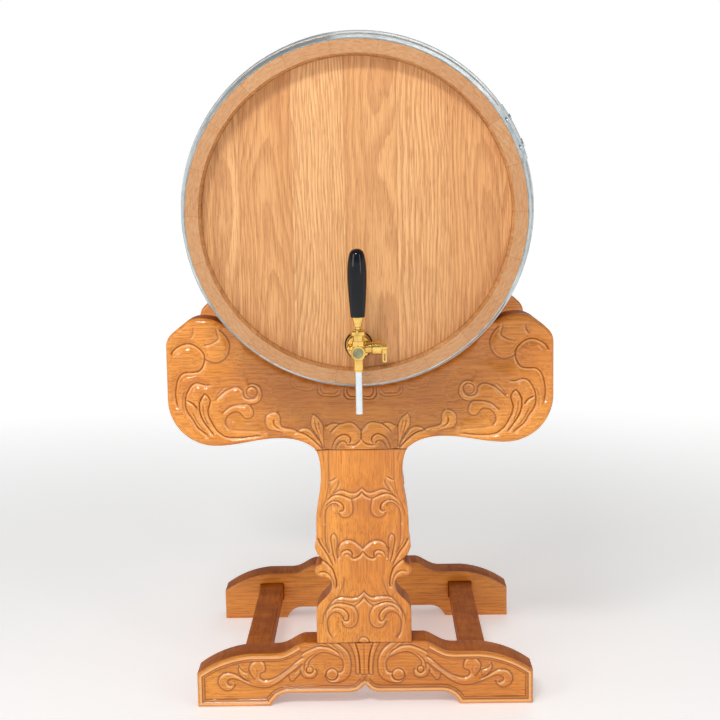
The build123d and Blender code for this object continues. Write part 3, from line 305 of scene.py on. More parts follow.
def saddle_chain():
    """Double-lined drops in a row along the saddle, found from the cask's axis."""
    cuts = []
    radius = CASK_Z - SADDLE_REACH
    edges = [(-DROP_HALF, DROP_HALF)]
    for place in range(DROP_COUNT):
        start = DROP_HALF + DROP_GAP + place * (DROP_WIDTH + DROP_GAP)
        edges.append((start, start + DROP_WIDTH))
    for start, end in edges:
        centre = (start + end) / 2
        shape = ((start, 0), (start, DROP_LENGTH - 9), (start + 0.9, DROP_LENGTH - 3.4),
                 (start + 2.2, DROP_LENGTH - 1.4), (centre, DROP_LENGTH - 0.6),
                 (end - 1.8, DROP_LENGTH + 0.6), (end - 0.6, DROP_LENGTH - 2.4),
                 (end, DROP_LENGTH - 8), (end, 0))
        faint = max(0.2, 1 - 0.04 * start)
        for inset in (0.0, DROP_INSET):
            pull = 1 - inset / (radians(end - start) / 2 * radius)
            points = []
            for angle, down in shape:
                turn = radians(centre + (angle - centre) * pull)
                reach = radius + (down - inset if down else 0)
                points.append((reach * sin(turn), CASK_Z - reach * cos(turn)))
            kept = [point for point in points if point[0] > -PAST_MIDDLE]
            cuts.append(Cut(kept, DROP_DEPTH * faint, DROP_WORKED, fade=OPEN))
    return cuts


# ---------------------------------------------------------------- relief worked out from the lines

PATH_STEP = 1.2                         # millimetres between the points that a line is measured from
BATCH = 4000                            # places that are worked out at once, to spare memory
SOFTENING = 9                           # rounds of evening out between carved lines
SOFT_RANGE = (1.0, 2.0)                 # distance from a line at which it starts, and over which it grows
SOFT_MOST = 0.8                         # its largest share in a round
SHARED_DEPTH = 0.35                     # share of the shallower of two forms that adds to the deeper one
RELIEF_DEPTH = 1.75                     # deepens every carved line
RELIEF_WIDTH = 1.25                     # widens the rounding beside every carved line
RELIEF_BOW = 1.6                        # 1 for a straight slope beside a line, more for a hollow one
FULL_MARK_DEPTH = 3.0                     # depth of line from which the staining with painted shade and the worn crests with a painted highlight are full, in millimetres
POOL_WIDTH = 2.8                        # millimetres over which staining and painted shade pool on the ground beside a line
POOL_STAIN_AND_SHADE = 0.35
CREST_PLACE = 2.6                       # millimetres from a line to the worn top of the form beside it, which carries a painted highlight
CREST_WIDTH = 1.2
CREST_HIGHLIGHT = (0.2, 0.8)                # on every side, partly wear; and what a place below a line adds at most, a painted highlight where the wood faces up
FAR = 99.0                              # stands for a line that is too far away to matter
GROUND_WIDTH = 30.0                     # millimetres over which the ground comes back to the face
GROUND_SHADE_REACH = 250.0                      # millimetres from the middle at which the ground's darkening, a painted shadow of the cask, ends
GROUND_SHADE_FADE = 130.0                       # millimetres over which it fades
WANDER = (0.9, 0.8)                     # the hand's largest shifts across and up, in millimetres


def smooth_path(points, step):
    """Points evenly spaced along a Catmull-Rom curve through the given points."""
    knots = np.array([points[0], *points, points[-1]], float)
    pieces = []
    for i in range(1, len(knots) - 2):
        p0, p1, p2, p3 = knots[i - 1 : i + 3]
        count = max(2, int(np.linalg.norm(p2 - p1) / step) + 1)
        t = np.linspace(0, 1, count, endpoint=False)[:, None]
        pieces.append(
            0.5 * (2 * p1 + (p2 - p0) * t + (2 * p0 - 5 * p1 + 4 * p2 - p3) * t**2
                   + (3 * p1 - p0 - 3 * p2 + p3) * t**3)
        )
    pieces.append(knots[-1:])
    return np.concatenate(pieces)


def nearest_on_path(places, path):
    """Distance to a path, side of it, length along it and how far below it a place lies, for each place."""
    start, run = path[:-1], np.diff(path, axis=0)
    length = np.maximum(np.linalg.norm(run, axis=1), 1e-9)
    along = np.concatenate([[0.0], np.cumsum(length)])
    away = places[:, None, :] - start[None]
    share = np.clip((away * run[None]).sum(2) / length**2, 0, 1)
    gap = away - share[..., None] * run[None]
    distance = np.linalg.norm(gap, axis=2)
    best = distance.argmin(1)
    rows = np.arange(len(places))
    side = run[best, 0] * gap[rows, best, 1] - run[best, 1] * gap[rows, best, 0]
    under = -gap[rows, best, 1] / np.maximum(distance[rows, best], 1e-9)
    return distance[rows, best], side, along[best] + share[rows, best] * length[best], along[-1], under


def run_out(travel, total, fade):
    """1 in the middle of a line, falling to 0 at an end that fades."""
    level = np.ones_like(travel)
    if fade[0] > 0:
        level = np.minimum(level, np.clip(travel / fade[0], 0, 1))
    if fade[1] > 0:
        level = np.minimum(level, np.clip((total - travel) / fade[1], 0, 1))
    return level * level * (3 - 2 * level)


def quarter_round(share):
    """1 at an edge, falling to 0 as a quarter circle does."""
    return 1 - np.sqrt(np.maximum(0, 1 - (1 - np.clip(share, 0, 1)) ** 2))


def bell(distance, width=1.0):
    """1 where the distance is 0, falling to almost 0 on both sides within twice the width."""
    return np.exp(-((distance / width) ** 2))


def tree_of(places):
    """A search tree of flat places."""
    tree = KDTree(len(places))
    for i, (x, z) in enumerate(places.tolist()):
        tree.insert((x, z, 0), i)
    tree.balance()
    return tree


def nearest(tree, places):
    """The number of the tree's nearest place, for each place."""
    return np.array([tree.find((x, z, 0))[1] for x, z in places.tolist()], int)


class Ground:
    """The lower ground beside the raised forms, found from the nearest line that has a low side."""

    def __init__(self, cuts):
        samples, runs, sunk, turned = [], [], [], []
        for cut in cuts:
            if not cut.low:
                continue
            path = smooth_path(cut.points, PATH_STEP)
            run = np.gradient(path, axis=0)
            travel = np.concatenate([[0.0], np.cumsum(np.linalg.norm(np.diff(path, axis=0), axis=1))])
            samples.append(path)
            runs.append(run)
            sunk.append(RELIEF_DEPTH * cut.depth * run_out(travel, travel[-1], cut.fade))
            turned.append(np.full(len(path), 1.0 if cut.low == "L" else -1.0))
        self.samples, self.runs = np.concatenate(samples), np.concatenate(runs)
        self.sunk, self.turned = np.concatenate(sunk), np.concatenate(turned)
        self.tree = tree_of(self.samples)

    def depth(self, places, field):
        """How far the ground lies below the board's face, 0 on the raised forms, and what is ground."""
        near = nearest(self.tree, places)
        away = places - self.samples[near]
        distance = np.linalg.norm(away, axis=1)
        side = (self.runs[near, 0] * away[:, 1] - self.runs[near, 1] * away[:, 0]) * self.turned[near]
        rise = np.clip(distance / GROUND_WIDTH, 0, 1)
        sunk = field + np.maximum(self.sunk[near] - field, 0) * (1 - rise * rise * (3 - 2 * rise))
        return np.where(side > 0, sunk, 0.0), (side > 0).astype(float)


def relief(across, up, cuts, field=0.0):
    """Depth in millimetres, dark staining with painted shade, worn crests with a painted highlight, distance
    to a line and ground, at each place.
    """
    places = np.stack([np.abs(across), up], 1)
    depth, stain_and_shade, crest_wear_and_highlight, low = np.zeros((4, len(places)))
    closest = np.full(len(places), FAR)
    if not cuts:
        return depth, stain_and_shade, crest_wear_and_highlight, closest, low
    for cut in cuts:
        path = smooth_path(cut.points, PATH_STEP)
        reach = RELIEF_WIDTH * max(cut.left, cut.right)
        near = np.flatnonzero(((places > path.min(0) - reach) & (places < path.max(0) + reach)).all(1))
        for part in np.array_split(near, max(1, len(near) // BATCH)):
            if not len(part):
                continue
            distance, side, travel, total, under = nearest_on_path(places[part], path)
            rise = np.clip(distance / (RELIEF_WIDTH * np.where(side > 0, cut.left, cut.right)), 0, 1)
            ground = {"L": side > 0, "R": side <= 0}.get(cut.low, np.zeros(len(part), bool))
            shape = np.where(ground & (distance > 0.4), 0, (1 - rise) ** RELIEF_BOW)
            level = run_out(travel, total, cut.fade)
            depth[part] = np.maximum(depth[part], RELIEF_DEPTH * cut.depth * level * shape)
            strength = level * min(1.0, cut.depth / FULL_MARK_DEPTH)
            # Dark in the line and pooled on the ground beside it: staining, partly painted shade.
            line = bell(distance, np.where(distance < 0.9, 1.0, 0.8))
            pooled_stain_and_shade = np.where(ground, POOL_STAIN_AND_SHADE * bell(distance, POOL_WIDTH), 0)
            stain_and_shade[part] = np.maximum(stain_and_shade[part], strength * np.maximum(line, pooled_stain_and_shade))
            # Lighter crests beside the line: partly wear, partly a painted highlight where the wood below a
            # line faces up.
            lit = CREST_HIGHLIGHT[0] + np.clip(under, 0, CREST_HIGHLIGHT[1])
            worn_and_lit = np.where(ground, 0, bell(distance - CREST_PLACE, CREST_WIDTH) * lit)
            crest_wear_and_highlight[part] = np.maximum(crest_wear_and_highlight[part], strength * worn_and_lit)
            closest[part] = np.minimum(closest[part], np.where(level > 0.05, distance, FAR))
    sunk, low = Ground(cuts).depth(places, field)
    return np.maximum(depth, sunk), stain_and_shade, crest_wear_and_highlight * (1 - stain_and_shade), closest, low


def wander(across, up, seed, back=False):
    """Small slow shifts, as a hand leaves them, that differ from side to side; back nearly undoes them."""
    sign = -1 if back else 1
    shift_across = WANDER[0] * np.sin(across / 23 + seed) * np.cos(up / 31 + 2 * seed)
    shift_up = WANDER[1] * np.sin(up / 27 + 3 * seed) * np.cos(across / 37 - seed)
    return across + sign * shift_across, up + sign * shift_up


# ---------------------------------------------------------------- boards, in millimetres

CARVED_STEP = 1.5                       # longest edge on the rim of a carved face
PLAIN_STEP = 3.0                        # the same for a plain face
LINE_STEP = 1.1                         # between vertices along a carved line
RIM_TOLERANCE = 2e-6                    # in metres, from the plane of a rim
RIM_MARGIN = 0.05                       # by which the deepest carving stays above the rim
SEAM_DEPTH = 1.2                        # of the fine gap at a tight joint
SEAM_WIDTH = 0.5
BEAD_DEPTH = 2.6                        # how far the round border falls at its two sides
FILLET_DEPTH = 2.2                      # of the small fillet inside the border
FILLET_FALL = 1.6                       # how far it falls at its two sides
FILLET_WIDTH = 3.6
BORDER_CREST = (2.6, 1.6)               # from the border's inner side out to its worn top with a painted highlight, and its width
BORDER_CLEAR = 5                        # width inside the border where no other worn top and painted highlight is kept
BORDER_DETAIL = 8                       # width inside the border that keeps the fine grid
BORDER_STOP = (104, 14)                 # half width and height of the part under the pedestal without border
CARVED_RINGS = (0.3, 0.9, 1.7, 2.7, 3.9, 5.3, 7.0)  # from the outline to the rings of vertices inside it
PLAIN_RINGS = (0.3, 1.0, 2.0)
BORDER_RINGS = (-0.3, 0, 0.8, 1.8, 2.9, FILLET_WIDTH, 5.2)  # the same, from the border's inner side
RING_SHARE = 0.93                       # share of its distance that a ring's vertex needs to be kept
LINE_MARGIN = 0.6                       # from the outline to the vertices of carved lines
GRID_MARGIN = 0.5                       # from the last ring to the grid
PLAIN_SPACING = 3                       # steps of the grid between its vertices away from carved lines


def select_nothing():
    """Leaves no object selected."""
    bpy.ops.object.select_all(action="DESELECT")


def select_only(piece):
    """Leaves one object selected and active."""
    select_nothing()
    piece.select_set(True)
    bpy.context.view_layer.objects.active = piece


def copy_of(node, name):
    """A new object with its own merged copy of a CAD node's mesh."""
    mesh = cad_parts[node].data.copy()
    mesh.name = name
    piece = bpy.data.objects.new(name, mesh)
    bpy.context.scene.collection.objects.link(piece)
    piece.data.materials.clear()
    select_only(piece)
    bpy.ops.object.mode_set(mode="EDIT")
    bpy.ops.mesh.select_all(action="SELECT")
    bpy.ops.mesh.customdata_custom_splitnormals_clear()
    bpy.ops.mesh.remove_doubles(threshold=1e-6)
    bpy.ops.object.mode_set(mode="OBJECT")
    return piece


def cut_face_off(piece, y, outward):
    """Removes what lies beyond an upright plane, on the side that outward points to."""
    select_only(piece)
    bpy.ops.object.mode_set(mode="EDIT")
    bpy.ops.mesh.select_all(action="SELECT")
    bpy.ops.mesh.bisect(plane_co=(0, y, 0), plane_no=(0, outward, 0), clear_outer=True, threshold=1e-7)
    bpy.ops.object.mode_set(mode="OBJECT")


def rim_edges(bm, y):
    """Open edges that lie in an upright plane."""
    return [edge for edge in bm.edges
            if edge.is_boundary and all(abs(vert.co.y - y) < RIM_TOLERANCE for vert in edge.verts)]


def divided_rim(bm, y, longest):
    """Closed loops of open edges in an upright plane, after long edges are divided."""
    groups = {}
    for edge in rim_edges(bm, y):
        groups.setdefault(int(edge.calc_length() / longest), []).append(edge)
    for count, edges in groups.items():
        if count:
            bmesh.ops.subdivide_edges(bm, edges=edges, cuts=count)
    edges = dict.fromkeys(rim_edges(bm, y))     # keeps their order, which a set doesn't
    loops = []
    while edges:
        edge = next(iter(edges))
        del edges[edge]
        loop = [edge.verts[0], edge.verts[1]]
        while True:
            onward = next((e for e in loop[-1].link_edges if e in edges), None)
            if onward is None:
                break
            del edges[onward]
            loop.append(onward.other_vert(loop[-1]))
        if loop[-1] is loop[0]:
            loop.pop()
        loops.append(loop)
    return loops


def inside_loops(places, loops):
    """Whether each place lies inside an odd number of closed loops."""
    inside = np.zeros(len(places), bool)
    for loop in loops:
        start, end = loop, np.roll(loop, -1, axis=0)
        above = (start[None, :, 1] > places[:, None, 1]) != (end[None, :, 1] > places[:, None, 1])
        rise = np.where(np.abs(end[:, 1] - start[:, 1]) < 1e-12, 1e-12, end[:, 1] - start[:, 1])
        cross = start[:, 0] + (places[:, None, 1] - start[:, 1]) * (end[:, 0] - start[:, 0]) / rise
        inside ^= (above & (places[:, None, 0] < cross)).sum(1) % 2 == 1
    return inside


class Outline:
    """The outer edge and the openings of a face, in millimetres across and up."""

    def __init__(self, loops, tight_at):
        area = [0.5 * np.sum(p[:, 0] * np.roll(p[:, 1], -1) - np.roll(p[:, 0], -1) * p[:, 1])
                for p in loops]
        largest = int(np.argmax(np.abs(area)))
        self.openings = [loop for i, loop in enumerate(loops) if i != largest]
        starts, runs, last = [], [], []
        for i, loop in enumerate(loops):
            turned = loop if (area[i] > 0) == (i == largest) else loop[::-1]
            first = sum(map(len, starts))
            starts.append(turned)
            runs.append(np.roll(turned, -1, axis=0) - turned)
            last.append(first + (np.arange(len(turned)) - 1) % len(turned))
        self.start, self.run, self.before = map(np.concatenate, (starts, runs, last))
        self.inward = np.stack([-self.run[:, 1], self.run[:, 0]], 1)
        self.inward /= np.maximum(np.linalg.norm(self.inward, axis=1), 1e-9)[:, None]
        self.corner = self.inward + self.inward[self.before]
        self.corner /= np.maximum(np.linalg.norm(self.corner, axis=1), 1e-9)[:, None]
        self.tight = tight_at(self.start + self.run / 2)
        self.tree = tree_of(self.start)

    def distance(self, places):
        """Distance inwards from the outline, below 0 outside, and whether a tight joint is nearest."""
        near = nearest(self.tree, places)
        best = np.full(len(places), np.inf)
        sign = np.ones(len(places))
        joint = np.zeros(len(places), bool)
        for segment in (near, self.before[near]):
            start, run = self.start[segment], self.run[segment]
            away = places - start
            share = np.clip((away * run).sum(1) / np.maximum((run**2).sum(1), 1e-12), 0, 1)
            gap = away - share[:, None] * run
            distance = np.linalg.norm(gap, axis=1)
            at_vertex = (share < 1e-6) | (share > 1 - 1e-6)
            normal = np.where(at_vertex[:, None], self.corner[near], self.inward[segment])
            closer = distance < best
            sign = np.where(closer, np.where((gap * normal).sum(1) < 0, -1.0, 1.0), sign)
            joint = np.where(closer, self.tight[segment], joint)
            best = np.where(closer, distance, best)
        return best * sign, joint


class Face:
    """How one face of a board is finished; lengths in millimetres."""

    def __init__(self, round_radius, round_depth, spacing, cuts=(), border=None, seed=0.0, field=0.0,
                 ground_stain_and_shade=0.0):
        self.round_radius = round_radius
        self.round_depth = round_depth
        self.spacing = spacing
        self.cuts = list(cuts)
        self.border = border                    # width of a raised border, or none
        self.field = field                      # depth of the open ground
        self.ground_stain_and_shade = ground_stain_and_shade                        # darkening of the ground: staining that it keeps, and painted shade under the cask
        self.seed = seed
        self.offsets = list(CARVED_RINGS if self.cuts else PLAIN_RINGS)
        if border:
            self.offsets += [border + more for more in BORDER_RINGS]


def vertex_places(outline, face):
    """Places for the vertices of a face: rings along the outline, the carved lines and a grid between."""
    chosen = []
    for offset in face.offsets:
        places = outline.start + offset * outline.corner
        distance, _ = outline.distance(places)
        chosen.append(places[distance > RING_SHARE * offset])
    for cut in face.cuts:
        path = smooth_path(cut.points, LINE_STEP)
        for side in (1, -1):
            line = np.stack(wander(side * path[:, 0], path[:, 1], face.seed, back=True), 1)
            distance, _ = outline.distance(line)
            chosen.append(line[distance > LINE_MARGIN])
    low, high = outline.start.min(0), outline.start.max(0)
    columns, rows = (np.arange(int(length / face.spacing) + 2) for length in high - low)
    column, row = (grid.ravel() for grid in np.meshgrid(columns, rows))
    places = np.stack([low[0] + (column + 0.5 * (row % 2)) * face.spacing, low[1] + row * face.spacing], 1)
    distance, _ = outline.distance(places)
    inner = distance > face.offsets[-1] + GRID_MARGIN
    places, column, row, distance = places[inner], column[inner], row[inner], distance[inner]
    depth = relief(*wander(places[:, 0], places[:, 1], face.seed), face.cuts, face.field)[0]
    wanted = (depth > 0.02) | ((column % PLAIN_SPACING == 0) & (row % PLAIN_SPACING == 0))
    if face.border:
        wanted |= distance < face.border + BORDER_DETAIL
    chosen.append(places[wanted])
    return thin_out(np.concatenate(chosen), 0.5 * face.spacing)


def thin_out(places, gap):
    """Drops places that lie closer than the gap to one that came before them."""
    taken = {}
    kept = []
    for x, y in places.tolist():
        cell = (int(x // gap), int(y // gap))
        if not any(
            (other[0] - x) ** 2 + (other[1] - y) ** 2 < gap * gap
            for i in (-1, 0, 1)
            for j in (-1, 0, 1)
            for other in taken.get((cell[0] + i, cell[1] + j), ())
        ):
            taken.setdefault(cell, []).append((x, y))
            kept.append((x, y))
    return np.array(kept)


def softened(depth, triangles, share):
    """The depths evened out over neighbouring places, each by its share."""
    sides = np.concatenate([triangles[:, [0, 1]], triangles[:, [1, 2]], triangles[:, [2, 0]]])
    pairs = np.unique(np.sort(sides, 1), axis=0)
    count = np.bincount(pairs.ravel(), minlength=len(depth))
    for _ in range(SOFTENING):
        total = np.bincount(pairs[:, 0], depth[pairs[:, 1]], len(depth))
        total += np.bincount(pairs[:, 1], depth[pairs[:, 0]], len(depth))
        depth = np.where(count > 0, depth + share * (total / np.maximum(count, 1) - depth), depth)
    return depth


def face_depth(places, triangles, outline, face):
    """Depth of the finished face below the board's own face, its staining with painted shade and its worn
    crests with a painted highlight.
    """
    distance, joint = outline.distance(places)
    distance = np.abs(distance)
    drawn = wander(places[:, 0], places[:, 1], face.seed)
    depth, stain_and_shade, crest_wear_and_highlight, closest, low = relief(*drawn, face.cuts, face.field)
    if face.cuts:
        share = np.clip((closest - SOFT_RANGE[0]) / SOFT_RANGE[1], 0, SOFT_MOST)
        depth = softened(depth, triangles, share)
        # The ground's darkening, a painted shadow of the cask over it, fades out away from the middle.
        kept = np.clip((GROUND_SHADE_REACH - np.abs(places[:, 0])) / GROUND_SHADE_FADE, 0, 1)
        stain_and_shade = np.maximum(stain_and_shade, face.ground_stain_and_shade * kept * softened(low, triangles, share))
    bend = face.round_depth * quarter_round(distance / face.round_radius)
    edge = np.where(joint, SEAM_DEPTH * np.clip(1 - distance / SEAM_WIDTH, 0, 1), bend)
    total = np.maximum(depth, edge) + SHARED_DEPTH * np.minimum(depth, edge)
    stain_and_shade = np.maximum(stain_and_shade, np.where(joint, bell(distance), 0.0))
    if face.border:
        half_width, height = BORDER_STOP
        under_pedestal = (places[:, 1] > FOOT_TOP - height) & (np.abs(places[:, 0]) < half_width)
        free = ~under_pedestal & ~joint
        inside = distance - face.border
        bead = quarter_round(1 - np.abs(distance / face.border * 2 - 1)) * BEAD_DEPTH
        fillet = FILLET_DEPTH + quarter_round(1 - np.abs(inside / (FILLET_WIDTH / 2) - 1)) * FILLET_FALL
        border = np.where(inside < 0, bead, np.where(inside < FILLET_WIDTH, fillet, 0.0))
        total = np.where(free & (inside < FILLET_WIDTH), np.maximum(border, bend), total)
        # Dark lines in the border's grooves: staining, partly painted shade.
        groove_stain_and_shade = np.maximum(bell(inside, 0.9), 0.8 * bell(inside - FILLET_WIDTH))
        stain_and_shade = np.where(free, np.maximum(np.where(inside < FILLET_WIDTH, 0, stain_and_shade), groove_stain_and_shade), stain_and_shade)
        # Worn top along the border, partly a painted highlight.
        worn_and_lit = bell(inside + BORDER_CREST[0], BORDER_CREST[1])
        crest_wear_and_highlight = np.where(free, np.maximum(crest_wear_and_highlight * (inside > BORDER_CLEAR), worn_and_lit), crest_wear_and_highlight)
    return total, stain_and_shade, crest_wear_and_highlight


def dress_board(node, name, front, back, tight_at):
    """Gives a board's two faces rounded edges and carving; the wood between them stays as it is."""
    low, high = box_mm(node)
    piece = copy_of(node, name)
    sides = ((front, low.y, -1), (back, high.y, 1))
    for face, surface, outward in sides:
        cut_face_off(piece, (surface - outward * face.round_depth) * MM, outward)
    bm = bmesh.new()
    bm.from_mesh(piece.data)
    stain_and_shade_layer = bm.verts.layers.float.new("stain_and_shade")
    crest_wear_and_highlight_layer = bm.verts.layers.float.new("crest_wear_and_highlight")
    for sawn in bm.faces:
        sawn.material_index = 1
    for face, surface, outward in sides:
        y = (surface - outward * face.round_depth) * MM
        loops = divided_rim(bm, y, (CARVED_STEP if face.cuts else PLAIN_STEP) * MM)
        outline = Outline([np.array([(v.co.x, v.co.z) for v in loop]) / MM for loop in loops], tight_at)
        known = [v for loop in loops for v in loop]
        flat = [Vector((v.co.x, v.co.z)) / MM for v in known]
        edges, first = [], 0
        for loop in loops:
            edges += [(first + i, first + (i + 1) % len(loop)) for i in range(len(loop))]
            first += len(loop)
        flat += [Vector(place) for place in vertex_places(outline, face).tolist()]
        points, _, triangles, sources, _, _ = delaunay_2d_cdt(flat, edges, [], 1, 1e-5)
        spots = np.array([tuple(p) for p in points])
        triangles = np.array(triangles)
        triangles = triangles[~inside_loops(spots[triangles].mean(1), outline.openings)]
        depth, stain_and_shade, crest_wear_and_highlight = face_depth(spots, triangles, outline, face)
        verts = []
        for i, source in enumerate(sources):
            known_here = [s for s in source if s < len(known)]
            if known_here:
                vert = known[known_here[0]]
            else:
                sunk = min(depth[i], face.round_depth - RIM_MARGIN)
                vert = bm.verts.new((spots[i][0] * MM, (surface - outward * sunk) * MM, spots[i][1] * MM))
            vert[stain_and_shade_layer] = float(stain_and_shade[i])
            vert[crest_wear_and_highlight_layer] = float(crest_wear_and_highlight[i])
            verts.append(vert)
        for a, b, c in triangles.tolist():
            corners = (verts[a], verts[b], verts[c])
            if len(set(corners)) == 3:
                bm.faces.new(corners if outward < 0 else corners[::-1])
    bmesh.ops.triangulate(bm, faces=[f for f in bm.faces if len(f.verts) > 3])
    bm.to_mesh(piece.data)
    bm.free()
    select_only(piece)
    bpy.ops.object.shade_smooth_by_angle(angle=radians(60))
    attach(piece, "root")
    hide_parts(node)
    return piece


# ---------------------------------------------------------------- materials


def sign_pair(operation):
    """Two methods for a sign of arithmetic: with the number before it, and after it."""
    return (lambda self, other: self.graph.math(operation, self, other),
            lambda self, other: self.graph.math(operation, other, self))


class Number:
    """A value socket that takes part in Python arithmetic; each step adds a Math node."""

    def __init__(self, graph, socket):
        self.graph = graph
        self.socket = socket

    __add__, __radd__ = sign_pair("ADD")
    __sub__, __rsub__ = sign_pair("SUBTRACT")
    __mul__, __rmul__ = sign_pair("MULTIPLY")
    __truediv__ = sign_pair("DIVIDE")[0]
    __pow__ = sign_pair("POWER")[0]


class Finish:
    """A procedural material that is built node by node."""

    def __init__(self, name):
        self.material = bpy.data.materials.new(name)
        self.material.use_nodes = True
        self.tree = self.material.node_tree
        self.tree.nodes.clear()
        self.shader = self.tree.nodes.new("ShaderNodeBsdfPrincipled")
        output = self.tree.nodes.new("ShaderNodeOutputMaterial")
        self.tree.links.new(self.shader.outputs["BSDF"], output.inputs["Surface"])
        self.place = self.node("ShaderNodeTexCoord").outputs["Object"]

    def node(self, kind, settings=None, sockets=None):
        """Adds a node and sets its settings first, then its sockets."""
        node = self.tree.nodes.new(kind)
        for key, value in (settings or {}).items():
            setattr(node, key, value)
        for key, value in (sockets or {}).items():
            self.feed(node.inputs[key], value)
        return node

    def feed(self, socket, value):
        """Links a socket to a value that varies, or sets it to a constant."""
        if isinstance(value, Number):
            value = value.socket
        if isinstance(value, bpy.types.NodeSocket):
            self.tree.links.new(value, socket)
        elif socket.type == "RGBA" and len(value) == 3:
            socket.default_value = (*value, 1.0)
        else:
            socket.default_value = value

    def math(self, operation, *values):
        """A Math node on numbers."""
        node = self.node("ShaderNodeMath", {"operation": operation}, dict(enumerate(values)))
        return Number(self, node.outputs[0])

    def vector_math(self, operation, *values):
        """A Vector Math node that gives a vector."""
        node = self.node("ShaderNodeVectorMath", {"operation": operation}, dict(enumerate(values)))
        return node.outputs[0]

    def ramp(self, value, low, high):
        """0 below low, 1 above high, with a smooth rise between them."""
        node = self.node("ShaderNodeMapRange", {"interpolation_type": "SMOOTHSTEP"},
                         {"Value": value, "From Min": low, "From Max": high})
        return Number(self, node.outputs["Result"])

    def noise(self, place, scale, detail=2.0, roughness=0.5):
        """Smooth noise from 0 to 1."""
        node = self.node("ShaderNodeTexNoise", {"noise_dimensions": "3D"},
                         {"Vector": place, "Scale": scale, "Detail": detail, "Roughness": roughness})
        return Number(self, node.outputs["Fac"])

    def attribute(self, name):
        """A number kept at the vertices of a mesh."""
        return Number(self, self.node("ShaderNodeAttribute", {"attribute_name": name}).outputs["Fac"])

    def scaled(self, place, x, y, z):
        """A place multiplied axis by axis."""
        return self.vector_math("MULTIPLY", place, (x, y, z))

    def parts(self, place):
        """The three numbers of a place."""
        node = self.node("ShaderNodeSeparateXYZ", sockets={"Vector": place})
        return [Number(self, node.outputs[i]) for i in range(3)]

    def joined(self, x, y, z):
        """A place made of three numbers."""
        return self.node("ShaderNodeCombineXYZ", sockets={"X": x, "Y": y, "Z": z}).outputs[0]

    def mix(self, share, first, second):
        """Two colours mixed by a share."""
        node = self.node("ShaderNodeMix", {"data_type": "RGBA"}, {"Factor": share, 6: first, 7: second})
        return node.outputs[2]

    def layered(self, colour, *layers):
        """A colour with others laid over it in turn, each by its share."""
        for share, above in layers:
            colour = self.mix(share, colour, above)
        return colour

    def bump(self, height, distance, strength):
        """A normal from a height in the range 0 to 1; the distance is in metres."""
        sockets = {"Height": height, "Distance": distance, "Strength": strength}
        return self.node("ShaderNodeBump", sockets=sockets).outputs["Normal"]

    def set(self, **sockets):
        """Sets or feeds the shader's sockets; an underscore stands for a space."""
        for key, value in sockets.items():
            self.feed(self.shader.inputs[key.replace("_", " ")], value)
        return self.material


def wood_grain(finish, place, along, pith, ring_width, fineness):
    """Growth rings, pores, streaks and slow shade of a board whose grain runs along one axis (0, 1 or 2)."""

    def drawn(stretch):
        """The place drawn out along the grain."""
        return finish.scaled(place, *(stretch if axis == along else 1.0 for axis in range(3)))

    bend = finish.noise(drawn(0.5), 7.0, 2.0)
    other_bend = finish.noise(finish.vector_math("ADD", drawn(0.5), (3.1, 1.7, 5.3)), 5.0, 1.0)
    first = pith[0] + 0.05 * bend
    second = pith[1] + 0.05 * other_bend
    reach = (first * first + second * second) ** 0.5
    waver = finish.noise(drawn(0.12), 60.0, 3.0, 0.6)
    rings = finish.math("FRACT", reach / ring_width + 0.9 * waver)
    late = finish.ramp(rings, 0.25, 0.9) * (1 - finish.ramp(rings, 0.9, 1.0))
    streaks = finish.noise(drawn(0.03), 260.0, 4.0, 0.7)
    pores = finish.noise(drawn(0.05), 1100.0, 1.0, 0.5)
    shade = finish.noise(drawn(0.15), 11.0, 3.0, 0.6)
    dashes = finish.noise(drawn(0.05 / fineness), 460.0 * fineness, 3.0, 0.65)
    return late, pores, streaks, shade, finish.ramp(dashes, 0.46, 0.66)


def stand_wood(name, along, pith, settings):
    """Stained and lacquered hardwood; dark staining and painted shade gather in the carved lines, and the
    worn crests carry a painted highlight.
    """
    finish = Finish(name)
    cross = [value for axis, value in enumerate(finish.parts(finish.place)) if axis != along]
    centre = (cross[0] - pith[0], cross[1] - pith[1])
    late, pores, streaks, shade, dashes = wood_grain(finish, finish.place, along, centre, 0.0055, 1.25)
    colour = finish.layered(
        settings.wood_light,
        (finish.ramp(shade, 0.3, 0.7), settings.wood_mid),
        (late * finish.ramp(shade, 0.25, 0.75) * 0.4, settings.wood_ring),
        (finish.ramp(streaks, 0.42, 0.72) * 0.4, settings.wood_ring),
        (dashes * 0.65, settings.wood_ring),
        (finish.ramp(pores, 0.6, 0.74) * finish.ramp(streaks, 0.4, 0.6) * 0.65, settings.wood_dark),
        # Worn crests, partly a painted highlight.
        (finish.attribute("crest_wear_and_highlight") * 0.8, settings.wood_worn_and_lit),
        # Dark in the carved lines and on the ground: staining, partly painted shade.
        (finish.attribute("stain_and_shade") * 0.92, settings.wood_dark),
    )
    height = 0.6 * finish.ramp(pores, 0.55, 0.8) + 0.25 * streaks + 0.15 * late
    return finish.set(
        Base_Color=colour,
        Roughness=0.36 + 0.18 * streaks,
        Specular_IOR_Level=0.3,
        Coat_Weight=0.65,
        Coat_Roughness=0.12,
        Normal=finish.bump(1 - height, 0.0004, 0.25),
    )


